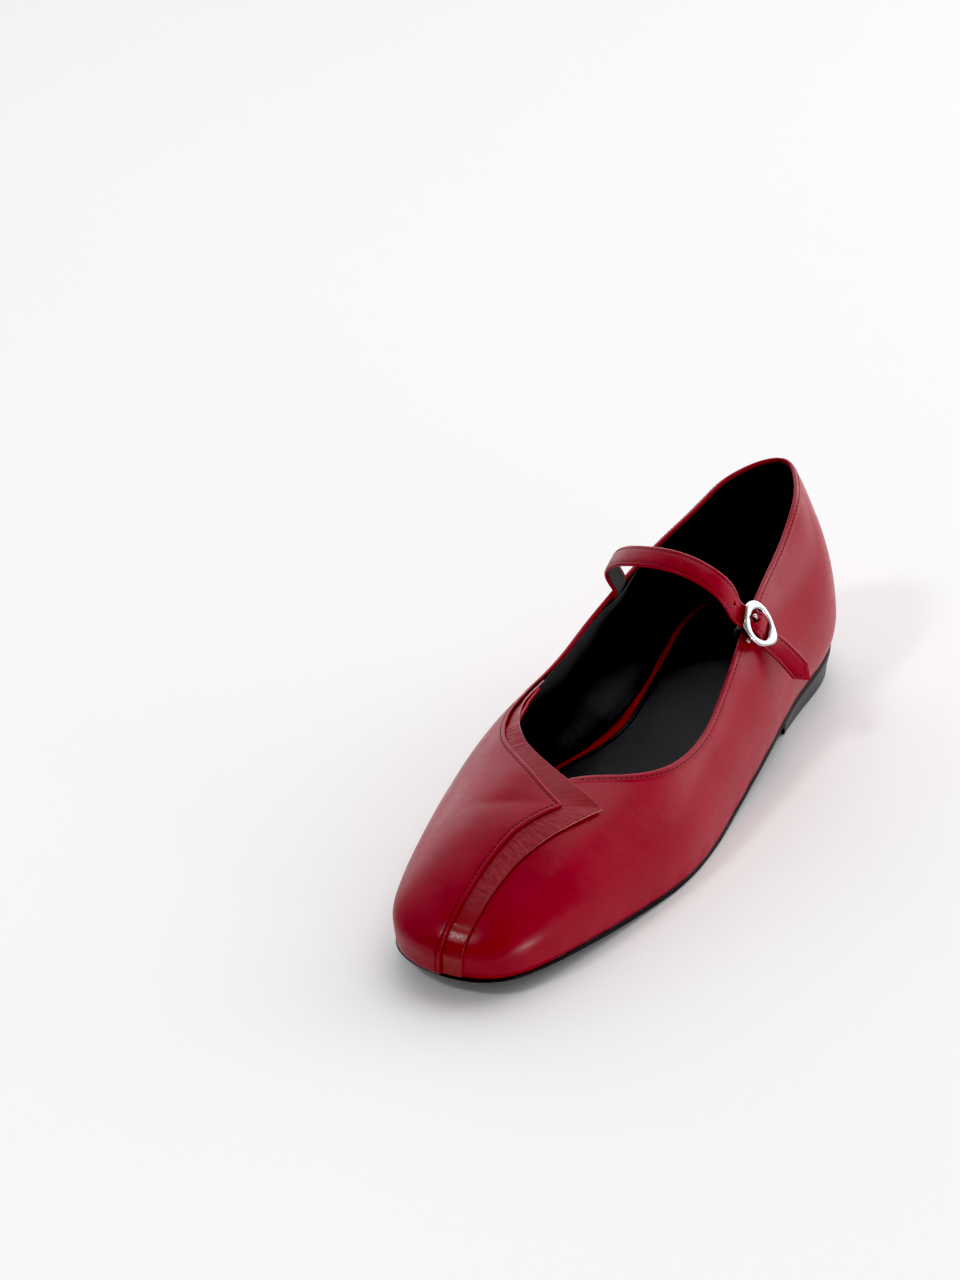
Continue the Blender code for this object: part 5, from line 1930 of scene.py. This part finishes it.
@dataclass(frozen=True)
class PaleSurface(Finish):
    """The plain floor."""

    def shade(self, n: Nodes, where: Socket) -> None:
        """Set the shader."""
        tone = n.noise(where, 0.9, 2, 0.5)
        red, green, blue = Floor.TONE.value
        colour = n.mix(n.between(tone, 0.2, 0.8), (red * 0.985, green * 0.985, blue * 0.985), Floor.TONE.value)
        n.set(Base_Color=colour, Roughness=0.7, Specular_IOR_Level=0.2)


# ---- studio


@dataclass(frozen=True)
class Softbox:
    """One large soft lamp: where it stands, where it points, its sides, its power."""

    name: str
    at: Triple
    towards: Triple
    wide: float
    high: float
    power: float
    colour: Triple = (1, 1, 1)

    def build(self) -> None:
        """Make the lamp."""
        lamp = bpy.data.lights.new(self.name, "AREA")
        lamp.shape = "RECTANGLE"
        lamp.size, lamp.size_y = self.wide, self.high
        lamp.energy = self.power
        lamp.color = self.colour
        obj = bpy.data.objects.new(self.name, lamp)
        obj.location = self.at
        way = Vector(self.towards) - Vector(self.at)
        obj.rotation_euler = way.to_track_quat("-Z", "Y").to_euler()
        bpy.context.scene.collection.objects.link(obj)


@dataclass
class Studio:
    """The camera, the floor and the light."""

    azimuth: float = 34.6
    height: float = 30.77
    roll: float = -6.39
    aside: float = 0.05693
    above: float = -0.05338
    distance: float = 1.03185
    lens: float = 82.04
    sensor: float = 36
    bright_way: Triple = (-0.15, 0.99, 0)  # where the windows are
    fade: tuple[float, float] = (0.2, 0.56)
    ceiling: Triple = (0.35, 0.85, 0.5)  # where they end upwards, and how dark it is there
    world_back: float = 2.6
    world_front: float = 0.38
    black: float = 0.015
    lamps: tuple[Softbox, ...] = (
        Softbox("key", (-0.53, -0.8, 1.37), (0, -0.05, 0), 0.22, 0.22, 3.9),
        Softbox("side", (1.18, -0.4, 0.075), (0.02, -0.11, 0.01), 0.26, 0.13, 4.2),
        Softbox("window", (0.75, 1.4, 0.42), (0.03, 0.05, 0.02), 1.3, 0.8, 4.2),
        Softbox("overhead", (0.1, 0.9, 1.9), (0, 0.1, 0), 1.8, 1.2, 10.2),
    )

    def camera(self) -> None:
        """Set the camera."""
        turn, rise, roll = np.radians([self.azimuth, self.height, self.roll])
        back = np.array([np.sin(turn) * np.cos(rise), -np.cos(turn) * np.cos(rise), np.sin(rise)])
        right = np.array([np.cos(turn), np.sin(turn), 0])
        up = np.cross(back, right)
        level = right * np.cos(roll) + up * np.sin(roll)
        upright = -right * np.sin(roll) + up * np.cos(roll)
        at = -self.aside * level - self.above * upright + self.distance * back
        data = bpy.data.cameras.new("camera")
        data.lens, data.sensor_width, data.sensor_fit = self.lens, self.sensor, "AUTO"
        data.clip_end = 100
        obj = bpy.data.objects.new("camera", data)
        columns = np.stack([level, upright, back], axis=1)
        obj.matrix_world = Matrix.Translation(Vector(at)) @ Matrix(columns.tolist()).to_4x4()
        bpy.context.scene.collection.objects.link(obj)
        bpy.context.scene.camera = obj

    def floor(self) -> None:
        """Lay the floor."""
        bm = bmesh.new()
        bmesh.ops.create_grid(bm, x_segments=4, y_segments=4, size=6)
        mesh = bpy.data.meshes.new("floor")
        bm.to_mesh(mesh)
        bm.free()
        obj = bpy.data.objects.new("floor", mesh)
        bpy.context.scene.collection.objects.link(obj)
        mesh.materials.append(PaleSurface("pale_surface").build())

    def light(self) -> None:
        """Hang the lamps and set the surroundings."""
        for lamp in self.lamps:
            lamp.build()
        world = bpy.data.worlds.new("surroundings")
        n = Nodes(world, "Background")
        way = n.add("ShaderNodeTexCoord").outputs["Generated"]
        towards = n.add("ShaderNodeVectorMath", {0: way, 1: self.bright_way}, operation="DOT_PRODUCT")
        low, high, drop = self.ceiling
        dim = n.between(n.add("ShaderNodeSeparateXYZ", {0: way}).outputs[2], low, high, 1, 1 - drop)
        windows = n.between(towards.outputs["Value"], *self.fade, self.world_front, self.world_back)
        n.set(Color=Floor.WORLD.value, Strength=n.math("MULTIPLY", dim, windows))
        bpy.context.scene.world = world
        view = bpy.context.scene.view_settings
        view.view_transform = "Standard"
        view.use_curve_mapping = True
        view.curve_mapping.black_level = (self.black,) * 3
        view.curve_mapping.update()


# ---- the shoe


def build_shoe() -> None:
    """Build and dress every piece, sub-assembly by sub-assembly."""
    last = Last()
    lines = VampLines(last)
    upper = Upper(last, lines)
    place = BuckleFrame()
    footbed, bottom = Footbed(last), Bottom(last)
    strap, buckle = Strap(place), Buckle(place, last)
    red = PolishedLeather("red_leather").build()
    lining = DullCloth("black_lining").build()
    thread = Thread("red_thread").build()
    # Dark red discs at the needle holes: painted shade of the holes.
    holes = DullCloth("stitch_hole_shade", (0.05, 0.0006, 0.0016), (0.07, 0.001, 0.0026), 0.7, 0, 0.1).build()
    black_thread = Thread("black_thread", (0.005, 0.005, 0.0055), (0.01, 0.01, 0.0105)).build()
    rubber = SoleRubber("sole_rubber").build()
    heel = SoleRubber("heel_leather", (0.03, 0.026, 0.028), (0.05, 0.045, 0.047), 0.4, 0.4).build()
    metal = PolishedMetal("polished_metal").build()

    for piece in (upper.outer_quarter(), upper.inner_panel()):
        dress(piece, red)
        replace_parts(piece, "upper")
    underlay = dress(upper.underlay(), CreasedLeather("creased_leather").build())
    underlay.data.materials.append(CutEdge("cut_edge").build())
    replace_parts(underlay, "vamp_band")
    dress(upper.lining(), lining)
    for row in upper.collar_stitches():
        dress(row, thread).data.materials.append(holes)

    # The wrap is the upper's red leather painted much lighter: painted light, as the lamps reach too little inside
    # the shoe.
    wrap = PolishedLeather("wrap_leather_painted_light", (0.48, 0.01, 0.028), roughness=0.45, coat=0.03).build()
    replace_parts(dress(footbed.board(), wrap), "insole")
    sock = DullCloth("black_sock", (0.024, 0.0235, 0.0245), (0.033, 0.0325, 0.0335), 0.58, 0.06, 0.34, 0.0009, 0.05)
    dress(footbed.sock(), sock.build())
    dress(footbed.sock_stitches(), black_thread).data.materials.append(black_thread)
    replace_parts(dress(bottom.outsole(), rubber), "outsole")
    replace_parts(dress(bottom.heel(), heel), "heel_block")
    dress(bottom.heel_top_piece(), heel)

    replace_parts(dress(strap.leather(), red), "strap")
    dress(strap.backing(), lining)
    dress(strap.stitches(), thread).data.materials.append(holes)
    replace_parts(dress(buckle.frame_ring(), metal), "buckle_frame")
    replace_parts(dress(buckle.pin(), metal), "buckle_prong")
    elastic = dress(buckle.elastic(), RibbedElastic("black_elastic").build())
    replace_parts(elastic, "elastic_loop")


def write_size() -> None:
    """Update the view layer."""
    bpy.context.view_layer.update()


def main() -> None:
    """Build the shoe and its studio."""
    logging.basicConfig(level=logging.INFO, format="%(message)s")
    build_shoe()
    studio = Studio()
    studio.camera()
    studio.floor()
    studio.light()
    write_size()


if __name__ == "__main__":
    main()
